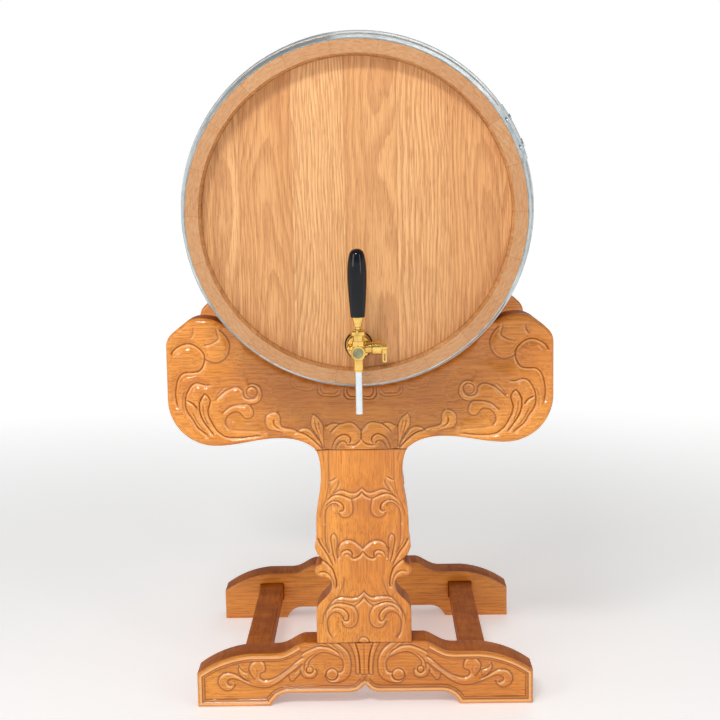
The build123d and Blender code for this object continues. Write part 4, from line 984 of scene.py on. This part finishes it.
def sawn_wood(name, settings):
    """Sawn edges and rails, which took up more staining and less lacquer."""
    finish = Finish(name)
    streaks = finish.noise(finish.scaled(finish.place, 1.0, 0.08, 1.0), 170.0, 4.0, 0.7)
    shade = finish.noise(finish.place, 16.0, 3.0, 0.6)
    specks = finish.noise(finish.scaled(finish.place, 1.0, 0.35, 1.0), 420.0, 2.0, 0.6)
    return finish.set(
        Base_Color=finish.layered(
            settings.sawn_light,
            (finish.ramp(shade, 0.3, 0.7), settings.sawn_dark),
            (finish.ramp(streaks, 0.45, 0.75) * 0.5, settings.wood_dark),
            (finish.ramp(specks, 0.6, 0.72) * 0.6, settings.wood_dark),
        ),
        Roughness=0.5 + 0.2 * streaks,
        Specular_IOR_Level=0.12,
        Normal=finish.bump(streaks, 0.0004, 0.4),
    )


def oak(name, kind, settings):
    """Oiled oak of the staves (kind 'staves') or of the head boards (kind 'heads')."""
    finish = Finish(name)
    x, y, z = finish.parts(finish.place)
    if kind == "staves":
        up = z - CASK_Z * MM
        angle = finish.math("ARCTAN2", x, up)
        turn = angle * (STAVE_COUNT / (2 * pi)) + 0.5
        number = finish.math("FLOOR", turn)
        outward = (x * x + up * up) ** 0.5
        across = (turn - number - 0.5) * (2 * pi / STAVE_COUNT) * outward
        local, along = finish.joined(across, y, outward), 1
        cross = (across, outward)
        lot = number
    else:
        side = finish.math("SIGN", y)
        boards = (x * side) / (-HEAD_BOARD * MM) + HEAD_SHIFT
        number = finish.math("FLOOR", boards)
        across = (boards - number - 0.5) * (HEAD_BOARD * MM)
        local, along = finish.joined(across, y, z), 2
        cross = (across, y - side * 0.3)
        lot = number + side * 20
    chance = finish.node("ShaderNodeTexWhiteNoise", {"noise_dimensions": "1D"}, {"W": lot})
    first, second, third = finish.parts(chance.outputs["Color"])
    shifted = finish.vector_math("ADD", local, finish.joined(first * 3.7, second * 2.9, third * 4.3))
    centre = (cross[0] + 0.09 * first - 0.045, cross[1] * 0.5 + 0.02 + 0.06 * second)
    late, pores, streaks, shade, dashes = wood_grain(finish, shifted, along, centre, 0.0040, 1.7)
    if kind == "staves":
        darkness = third
    else:
        darkness = 0.42 + 0.42 * finish.math("SINE", number * HEAD_TONE[0] + HEAD_TONE[1])
    colour = finish.layered(
        settings.oak_light,
        (0.3 * finish.ramp(shade, 0.3, 0.7) + 0.85 * darkness, settings.oak_mid),
        (late * 0.45, settings.oak_ring),
        (finish.ramp(streaks, 0.45, 0.72) * 0.3, settings.oak_ring),
        (dashes * 0.75, settings.oak_ring),
        (finish.ramp(pores, 0.6, 0.74) * finish.ramp(late, 0.1, 0.8) * 0.6, settings.oak_dark),
    )
    if kind == "staves":
        half = (CASK_HIGH.y - CASK_LOW.y) / 2 * MM
        end = finish.ramp(finish.math("ABSOLUTE", y - CASK_Y * MM), half - 0.0022, half - 0.0012)
        rows = finish.noise(finish.joined(outward * 6.0, angle * 0.2, 0.0), 90.0, 3.0, 0.7)
        cut_end = finish.mix(finish.ramp(rows, 0.4, 0.65), settings.end_grain, settings.oak_ring)
        edge = finish.ramp(finish.math("ABSOLUTE", turn - number - 0.5), 0.485, 0.5)
        colour = finish.layered(colour, (end * 0.75, cut_end), (0.45 * edge, settings.oak_dark))
    else:
        edge = 1 - finish.ramp(HEAD_BOARD * MM / 2 - finish.math("ABSOLUTE", across), 0.0003, 0.0011)
        colour = finish.mix(edge * (0.1 + 0.5 * darkness * darkness), colour, settings.oak_dark)
    height = 0.6 * finish.ramp(pores, 0.55, 0.8) + 0.3 * streaks + 0.1 * late
    return finish.set(
        Base_Color=colour,
        Roughness=0.40 + 0.15 * streaks,
        Coat_Weight=0.25,
        Coat_Roughness=0.25,
        Normal=finish.bump(1 - height, 0.0006, 0.4),
    )


def galvanised(name, settings):
    """Zinc-coated band: rolled bands round the hoop, faint crystals and dull spots."""
    finish = Finish(name)
    x, y, z = finish.parts(finish.place)
    angle = finish.math("ARCTAN2", x, z - CASK_Z * MM)
    crystals = finish.node("ShaderNodeTexVoronoi", {"feature": "F1"},
                           {"Vector": finish.place, "Scale": 110.0})
    cell = finish.parts(crystals.outputs["Color"])[0]
    patches = finish.noise(finish.place, 9.0, 3.0, 0.6)
    rolled = finish.noise(finish.joined(angle * 0.8, y * 240.0, 0.0), 1.0, 2.0, 0.6)
    lines = finish.noise(finish.joined(angle * 0.5, y * 600.0, 4.0), 1.0, 1.0)
    tone = finish.ramp(0.65 * rolled + 0.25 * patches + 0.1 * cell, 0.34, 0.6)
    return finish.set(
        Base_Color=finish.layered(settings.zinc_light, (tone, settings.zinc_dark),
                                  (finish.ramp(lines, 0.56, 0.7) * 0.6, settings.zinc_lines)),
        Metallic=1.0,
        Roughness=0.22 + 0.08 * cell + 0.16 * patches,
        Normal=finish.bump(rolled, 0.0002, 0.2),
    )


def polished(name, colour, dark, roughness):
    """Bright metal with faint handling marks."""
    finish = Finish(name)
    cloud = finish.noise(finish.place, 60.0, 3.0, 0.6)
    fine = finish.noise(finish.place, 900.0, 2.0)
    return finish.set(
        Base_Color=finish.mix(finish.ramp(cloud, 0.4, 0.75) * 0.6, colour, dark),
        Metallic=1.0,
        Roughness=roughness + 0.12 * cloud,
        Normal=finish.bump(fine, 0.00008, 0.2),
    )


def black_plastic(name, settings, roughness, specular):
    """Black moulded plastic or rubber."""
    finish = Finish(name)
    cloud = finish.noise(finish.place, 80.0, 2.0)
    fine = finish.noise(finish.place, 1600.0, 2.0)
    return finish.set(
        Base_Color=finish.mix(cloud, settings.black, settings.black_light),
        Roughness=roughness + 0.06 * cloud,
        Specular_IOR_Level=specular,
        Normal=finish.bump(fine, 0.00005, 0.1),
    )


def paint(nodes, material):
    """Puts one material on CAD nodes."""
    for node in nodes:
        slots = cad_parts[node].data.materials
        slots.clear()
        slots.append(material)


# ---------------------------------------------------------------- settings


def colour_property(name, description, default):
    """A colour that a user can change."""
    return FloatVectorProperty(name=name, description=description, default=default, subtype="COLOR",
                               size=3, min=0.0, max=1.0)


class StandSettings(bpy.types.PropertyGroup):
    """Carving and finish of the stand."""

    carve_spacing: FloatProperty(
        name="Carving detail", description="Distance between the vertices of a carved face",
        default=1.1 * MM, min=0.6 * MM, max=3 * MM, unit="LENGTH")
    edge_radius: FloatProperty(
        name="Edge radius", description="Rounding of the front edges of the yoke",
        default=12 * MM, min=2 * MM, max=15 * MM, unit="LENGTH")
    wood_light: colour_property("Light wood", "Lightest tone of the stained wood", (0.82, 0.318, 0.038))
    wood_mid: colour_property("Wood", "Usual tone of the stained wood", (0.69, 0.226, 0.020))
    wood_ring: colour_property("Rings", "Late wood and streaks", (0.43, 0.112, 0.008))
    # Colour of the worn crests, partly a painted highlight.
    wood_worn_and_lit: colour_property("Worn wood and painted highlight", "Crests of the carving", (0.95, 0.55, 0.240))
    sawn_light: colour_property("Light sawn edge", "Lighter tone of sawn edges and rails",
                                (0.52, 0.145, 0.010))
    sawn_dark: colour_property("Dark sawn edge", "Darker tone of sawn edges and rails", (0.33, 0.078, 0.005))
    # Also the colour of the painted shade in the carved lines and on the ground.
    wood_dark: colour_property("Dark stain", "Stain in pores and carved lines", (0.19, 0.040, 0.004))


class CaskSettings(bpy.types.PropertyGroup):
    """Finish of the cask."""

    oak_light: colour_property("Light oak", "Lightest tone of the oak", (0.82, 0.46, 0.190))
    oak_mid: colour_property("Oak", "Usual tone of the oak", (0.60, 0.270, 0.082))
    oak_ring: colour_property("Rings", "Late wood and streaks", (0.40, 0.150, 0.037))
    end_grain: colour_property("End grain", "Ends of the staves", (0.45, 0.25, 0.120))
    oak_dark: colour_property("Pores", "Open pores of the oak", (0.28, 0.10, 0.035))
    zinc_light: colour_property("Light zinc", "Bright crystals of the hoops", (0.68, 0.72, 0.73))
    zinc_dark: colour_property("Dark zinc", "Dull crystals of the hoops", (0.27, 0.36, 0.385))
    zinc_lines: colour_property("Zinc lines", "Fine dark lines round the hoops", (0.05, 0.08, 0.09))


class TapSettings(bpy.types.PropertyGroup):
    """Finish of the tap."""

    brass: colour_property("Brass", "Polished brass", (0.86, 0.57, 0.16))
    brass_dark: colour_property("Dull brass", "Brass where it has dulled", (0.42, 0.23, 0.045))
    bronze: colour_property("Plug", "Dark bronze of the front plug", (0.36, 0.35, 0.21))
    bronze_dark: colour_property("Dull plug", "Bronze where it has dulled", (0.12, 0.13, 0.08))
    steel: colour_property("Steel", "Bright steel tube", (0.74, 0.80, 0.82))
    steel_dark: colour_property("Dull steel", "Steel where it has dulled", (0.62, 0.69, 0.72))
    black: colour_property("Black", "Black of the grip and the seals", (0.002, 0.002, 0.004))
    black_light: colour_property("Light black", "Its lighter clouds", (0.005, 0.006, 0.009))


class StageSettings(bpy.types.PropertyGroup):
    """Floor, lights and camera."""

    floor_colour: colour_property("Floor", "Pale floor", (0.95, 0.95, 0.95))
    floor_shade: colour_property("Floor clouds", "Slightly darker clouds on it", (0.9, 0.9, 0.9))
    floor_glow: FloatProperty(name="Floor glow", description="Light that the floor gives by itself",
                              default=0.72, min=0.0, subtype="FACTOR")
    sky: FloatProperty(name="Sky", description="Strength of the even light from above", default=0.33,
                       min=0.0, subtype="FACTOR")
    horizon: FloatProperty(name="Horizon", description="Strength of the light from level with the floor",
                           default=1.0, min=0.0, subtype="FACTOR")
    key_power: FloatProperty(name="Key light", description="Power of the large light", default=31.0,
                             min=0.0, unit="POWER")
    fill_power: FloatProperty(name="Fill light", description="Power of the side lights", default=8.0,
                              min=0.0, unit="POWER")
    lens: FloatProperty(name="Lens", description="Focal length", default=70.18, min=20.0,
                        unit="CAMERA")


# ---------------------------------------------------------------- stage

FLOOR_RADIUS = 30.0                     # metres
GLOW = ((0.35, 0.35, 0.35), (1.0, 1.0, 1.0))    # colour of the floor's own light, near and far
GLOW_RANGE = (0.8, 4.0)                 # metres from the middle between which it changes
HORIZON_HEIGHT = (0.12, 0.28)           # of a direction's upward share; the sky's light takes over between
LIGHTS_MIDDLE = (0, 0, 0.6)             # metres; what the side lights point at
CAMERA_PLACE = (22.8, -2395.0, 869.6)   # millimetres
CAMERA_YAW = -0.588                     # degrees; turned to the right
CAMERA_PITCH = 7.958                    # degrees; looking down
CAMERA_ROLL = -0.945                    # degrees


def lay_floor(settings):
    """A wide pale floor that gives some light by itself."""
    select_nothing()
    bpy.ops.mesh.primitive_circle_add(vertices=96, radius=FLOOR_RADIUS, fill_type="NGON")
    floor = bpy.context.active_object
    floor.name = "floor"
    finish = Finish("floor_paint")
    cloud = finish.noise(finish.place, 3.0, 2.0)
    x, y, _ = finish.parts(finish.place)
    far = finish.ramp((x * x + y * y) ** 0.5, *GLOW_RANGE)
    finish.set(Base_Color=finish.mix(cloud * 0.1, settings.floor_colour, settings.floor_shade),
               Emission_Color=finish.mix(far, *GLOW),
               Roughness=0.6, Emission_Strength=settings.floor_glow)
    floor.data.materials.append(finish.material)


def light_sky(settings):
    """Even light from above and below, and another strength of it from level with the floor."""
    world = bpy.data.worlds.new("studio")
    world.use_nodes = True
    nodes = world.node_tree.nodes
    background = nodes["Background"]
    background.inputs["Color"].default_value = (1.0, 1.0, 1.0, 1.0)
    direction = nodes.new("ShaderNodeTexCoord").outputs["Generated"]
    split = nodes.new("ShaderNodeSeparateXYZ")
    height = nodes.new("ShaderNodeMath")
    height.operation = "ABSOLUTE"
    fall = nodes.new("ShaderNodeMapRange")
    fall.interpolation_type = "SMOOTHSTEP"
    for socket, value in (("From Min", HORIZON_HEIGHT[0]), ("From Max", HORIZON_HEIGHT[1]),
                          ("To Min", settings.horizon), ("To Max", settings.sky)):
        fall.inputs[socket].default_value = value
    for source, target in ((direction, split.inputs[0]), (split.outputs["Z"], height.inputs[0]),
                           (height.outputs[0], fall.inputs["Value"]),
                           (fall.outputs["Result"], background.inputs["Strength"])):
        world.node_tree.links.new(source, target)
    bpy.context.scene.world = world
    bpy.context.scene.view_settings.view_transform = "Standard"


def hang_light(name, place, target, size, power):
    """A rectangular light that points at a target; lengths in metres."""
    data = bpy.data.lights.new(name, "AREA")
    data.shape = "RECTANGLE"
    data.size, data.size_y = size
    data.energy = power
    lamp = bpy.data.objects.new(name, data)
    bpy.context.scene.collection.objects.link(lamp)
    lamp.location = place
    lamp.rotation_euler = (Vector(target) - Vector(place)).to_track_quat("-Z", "Y").to_euler()


def place_camera(settings):
    """The camera, turned by its three angles."""
    data = bpy.data.cameras.new("camera")
    data.sensor_width = 36.0
    data.lens = settings.lens
    camera = bpy.data.objects.new("camera", data)
    bpy.context.scene.collection.objects.link(camera)
    yaw, pitch, roll = radians(CAMERA_YAW), radians(CAMERA_PITCH), radians(CAMERA_ROLL)
    ahead = Vector((sin(yaw) * cos(pitch), cos(yaw) * cos(pitch), -sin(pitch)))
    right = Vector((cos(yaw), -sin(yaw), 0))
    up = right.cross(ahead)
    turned_right = cos(roll) * right + sin(roll) * up
    turned_up = cos(roll) * up - sin(roll) * right
    turn = Matrix((turned_right, turned_up, -ahead)).transposed()
    camera.matrix_world = Matrix.Translation(Vector(CAMERA_PLACE) * MM) @ turn.to_4x4()
    bpy.context.scene.camera = camera


class CASK_OT_stage(bpy.types.Operator):
    """Make the floor, the lights and the camera"""

    bl_idname = "cask.stage"
    bl_label = "Stage"

    def execute(self, context):
        settings = context.scene.cask_stage
        lay_floor(settings)
        light_sky(settings)
        hang_light("key", (-0.5, -2.2, 2.3), (0, -0.25, 0.45), (0.75, 0.35), settings.key_power)
        hang_light("left", (-1.9, -2.0, 1.5), LIGHTS_MIDDLE, (0.9, 1.2), 1.7 * settings.fill_power)
        hang_light("right", (1.7, -2.1, 1.3), LIGHTS_MIDDLE, (0.4, 1.4), 0.9 * settings.fill_power)
        hang_light("back", (0.6, 2.4, 2.0), LIGHTS_MIDDLE, (1.6, 1.0), settings.fill_power)
        place_camera(settings)
        return {"FINISHED"}


# ---------------------------------------------------------------- cask, stand and tap

ON_LEVEL = 1.0                          # millimetres from a level within which a place lies on it
YOKE_SEAT = 73                          # half width of the yoke's stretch on the pedestal
FOOT_SEAT = 77                          # half width of the foot's stretch under the pedestal
UPPER_HOUSING = (0, 35, FOOT_TOP + 150, YOKE_BASE - 60)     # middle, half width, bottom and top
LOWER_HOUSING = (181, 25, 30, 72)       # the same for the two in a foot


class CASK_OT_cask(bpy.types.Operator):
    """Finish the staves, the heads, the hoops, the rivets and the bung"""

    bl_idname = "cask.cask"
    bl_label = "Cask"

    def execute(self, context):
        settings = context.scene.cask_cask
        nodes = list(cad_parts)
        paint([node for node in nodes if node.startswith("stave_") or node == "bung"],
              oak("oak_staves", "staves", settings))
        paint(["front_head", "rear_head"], oak("oak_heads", "heads", settings))
        paint([node for node in nodes if node.endswith("_hoop") or node == "hoop_rivets"],
              galvanised("galvanised_hoops", settings))
        return {"FINISHED"}


def on_level(places, height, half_width=np.inf):
    """Whether each place lies on a level, within a half width of the middle."""
    return (np.abs(places[:, 1] - height) < ON_LEVEL) & (np.abs(places[:, 0]) < half_width)


def in_housing(places, middle, half_width, bottom, top):
    """Whether each place lies in a rail's housing or in its mirror image."""
    across = np.abs(np.abs(places[:, 0]) - middle)
    return (across < half_width) & (places[:, 1] > bottom) & (places[:, 1] < top)


def yoke_joints(places):
    """The yoke's stretch on the pedestal stays a tight joint."""
    return on_level(places, YOKE_BASE, YOKE_SEAT)


def pedestal_joints(places):
    """Both ends of a pedestal, its tenons and its housing stay tight."""
    ends = on_level(places, YOKE_BASE) | on_level(places, FOOT_TOP)
    return ends | in_housing(places, *UPPER_HOUSING)


def foot_joints(places):
    """The foot's stretch under the pedestal and its rail housings stay tight."""
    return on_level(places, FOOT_TOP, FOOT_SEAT) | in_housing(places, *LOWER_HOUSING)


class CASK_OT_front_frame(bpy.types.Operator):
    """Carve the front foot, pedestal and yoke"""

    bl_idname = "cask.front_frame"
    bl_label = "Front Frame"

    def execute(self, context):
        settings = context.scene.cask_stand
        spacing = settings.carve_spacing / MM
        level = stand_wood("stand_wood_level", 0, (-0.08, 0.47), settings)
        upright = stand_wood("stand_wood_upright", 2, (0.02, -0.05), settings)
        sawn = sawn_wood("stand_wood_sawn", settings)
        plain = Face(round_radius=3.0, round_depth=2.6, spacing=3.0)
        for node, name, joints, material, face in (
            # The yoke's ground is darkened: staining, and painted shade under the cask; the foot's a little.
            ("front_yoke", "carved_yoke", yoke_joints, level,
             Face(settings.edge_radius / MM, 7.5, spacing, YOKE_CUTS + saddle_chain(), seed=0.4, ground_stain_and_shade=0.45)),
            ("front_pedestal", "carved_pedestal", pedestal_joints, upright,
             Face(7.0, 6.0, spacing, PEDESTAL_CUTS, seed=1.3, field=0.8)),
            ("front_foot", "carved_foot", foot_joints, level,
             Face(4.5, 6.5, spacing, FOOT_CUTS, border=8.5, seed=2.1, field=3.2, ground_stain_and_shade=0.12)),
        ):
            piece = dress_board(node, name, face, plain, joints)
            piece.data.materials.append(material)
            piece.data.materials.append(sawn)
        return {"FINISHED"}


class CASK_OT_rear_frame(bpy.types.Operator):
    """Round the edges of the plain rear frame and finish the rails"""

    bl_idname = "cask.rear_frame"
    bl_label = "Rear Frame and Rails"

    def execute(self, context):
        settings = context.scene.cask_stand
        level = bpy.data.materials["stand_wood_level"]
        upright = bpy.data.materials["stand_wood_upright"]
        plain = Face(round_radius=4.0, round_depth=3.4, spacing=3.0)
        for node, joints, material in (("rear_yoke", yoke_joints, level),
                                       ("rear_pedestal", pedestal_joints, upright),
                                       ("rear_foot", foot_joints, level)):
            piece = dress_board(node, "plain_" + node, plain, plain, joints)
            piece.data.materials.append(material)
            piece.data.materials.append(bpy.data.materials["stand_wood_sawn"])
        paint(["left_rail", "right_rail", "upper_rail"], sawn_wood("rail_wood", settings))
        return {"FINISHED"}


class CASK_OT_tap(bpy.types.Operator):
    """Finish the tap, its lever, the outlet tube and the flow control"""

    bl_idname = "cask.tap"
    bl_label = "Tap"

    def execute(self, context):
        settings = context.scene.cask_tap
        paint(["tap_shank", "head_flange", "lock_nut", "coupling_nut", "tap_body", "bonnet", "outlet_nozzle",
               "flow_nut", "flow_housing", "flow_lever", "lever_ferrule", "lever_stem"],
              polished("tap_brass", settings.brass, settings.brass_dark, 0.06))
        paint(["front_plug"], polished("plug_bronze", settings.bronze, settings.bronze_dark, 0.3))
        paint(["outlet_tube", "plunger"], polished("steel_tube", settings.steel, settings.steel_dark, 0.2))
        paint(["head_gasket", "plunger_seal"], black_plastic("black_rubber", settings, 0.5, 0.4))
        paint(["handle_grip"], black_plastic("black_grip", settings, 0.08, 0.27))
        return {"FINISHED"}


class CASK_PT_panel(bpy.types.Panel):
    """The pieces of the cask and its stand, in the order in which they are made"""

    bl_label = "Cask Dispenser"
    bl_idname = "CASK_PT_panel"
    bl_space_type = "VIEW_3D"
    bl_region_type = "UI"
    bl_category = "Cask"

    def draw(self, context):
        layout = self.layout
        scene = context.scene
        for operator, group in (("cask.stage", scene.cask_stage), ("cask.cask", scene.cask_cask),
                                ("cask.front_frame", scene.cask_stand), ("cask.rear_frame", None),
                                ("cask.tap", scene.cask_tap)):
            layout.operator(operator)
            if group:
                for name in group.__annotations__:
                    layout.prop(group, name)


GROUPS = {"cask_stand": StandSettings, "cask_cask": CaskSettings, "cask_tap": TapSettings,
          "cask_stage": StageSettings}
CLASSES = (*GROUPS.values(), CASK_OT_stage, CASK_OT_cask, CASK_OT_front_frame, CASK_OT_rear_frame,
           CASK_OT_tap, CASK_PT_panel)


def register():
    """Registers the classes and the settings."""
    for cls in CLASSES:
        bpy.utils.register_class(cls)
    for name, group in GROUPS.items():
        setattr(bpy.types.Scene, name, PointerProperty(type=group))


def unregister():
    """Removes the classes and the settings."""
    for name in GROUPS:
        delattr(bpy.types.Scene, name)
    for cls in reversed(CLASSES):
        bpy.utils.unregister_class(cls)


def main():
    """Makes every piece in order."""
    register()
    bpy.ops.cask.stage()
    bpy.ops.cask.cask()
    bpy.ops.cask.front_frame()
    bpy.ops.cask.rear_frame()
    bpy.ops.cask.tap()


if __name__ == "__main__":
    main()
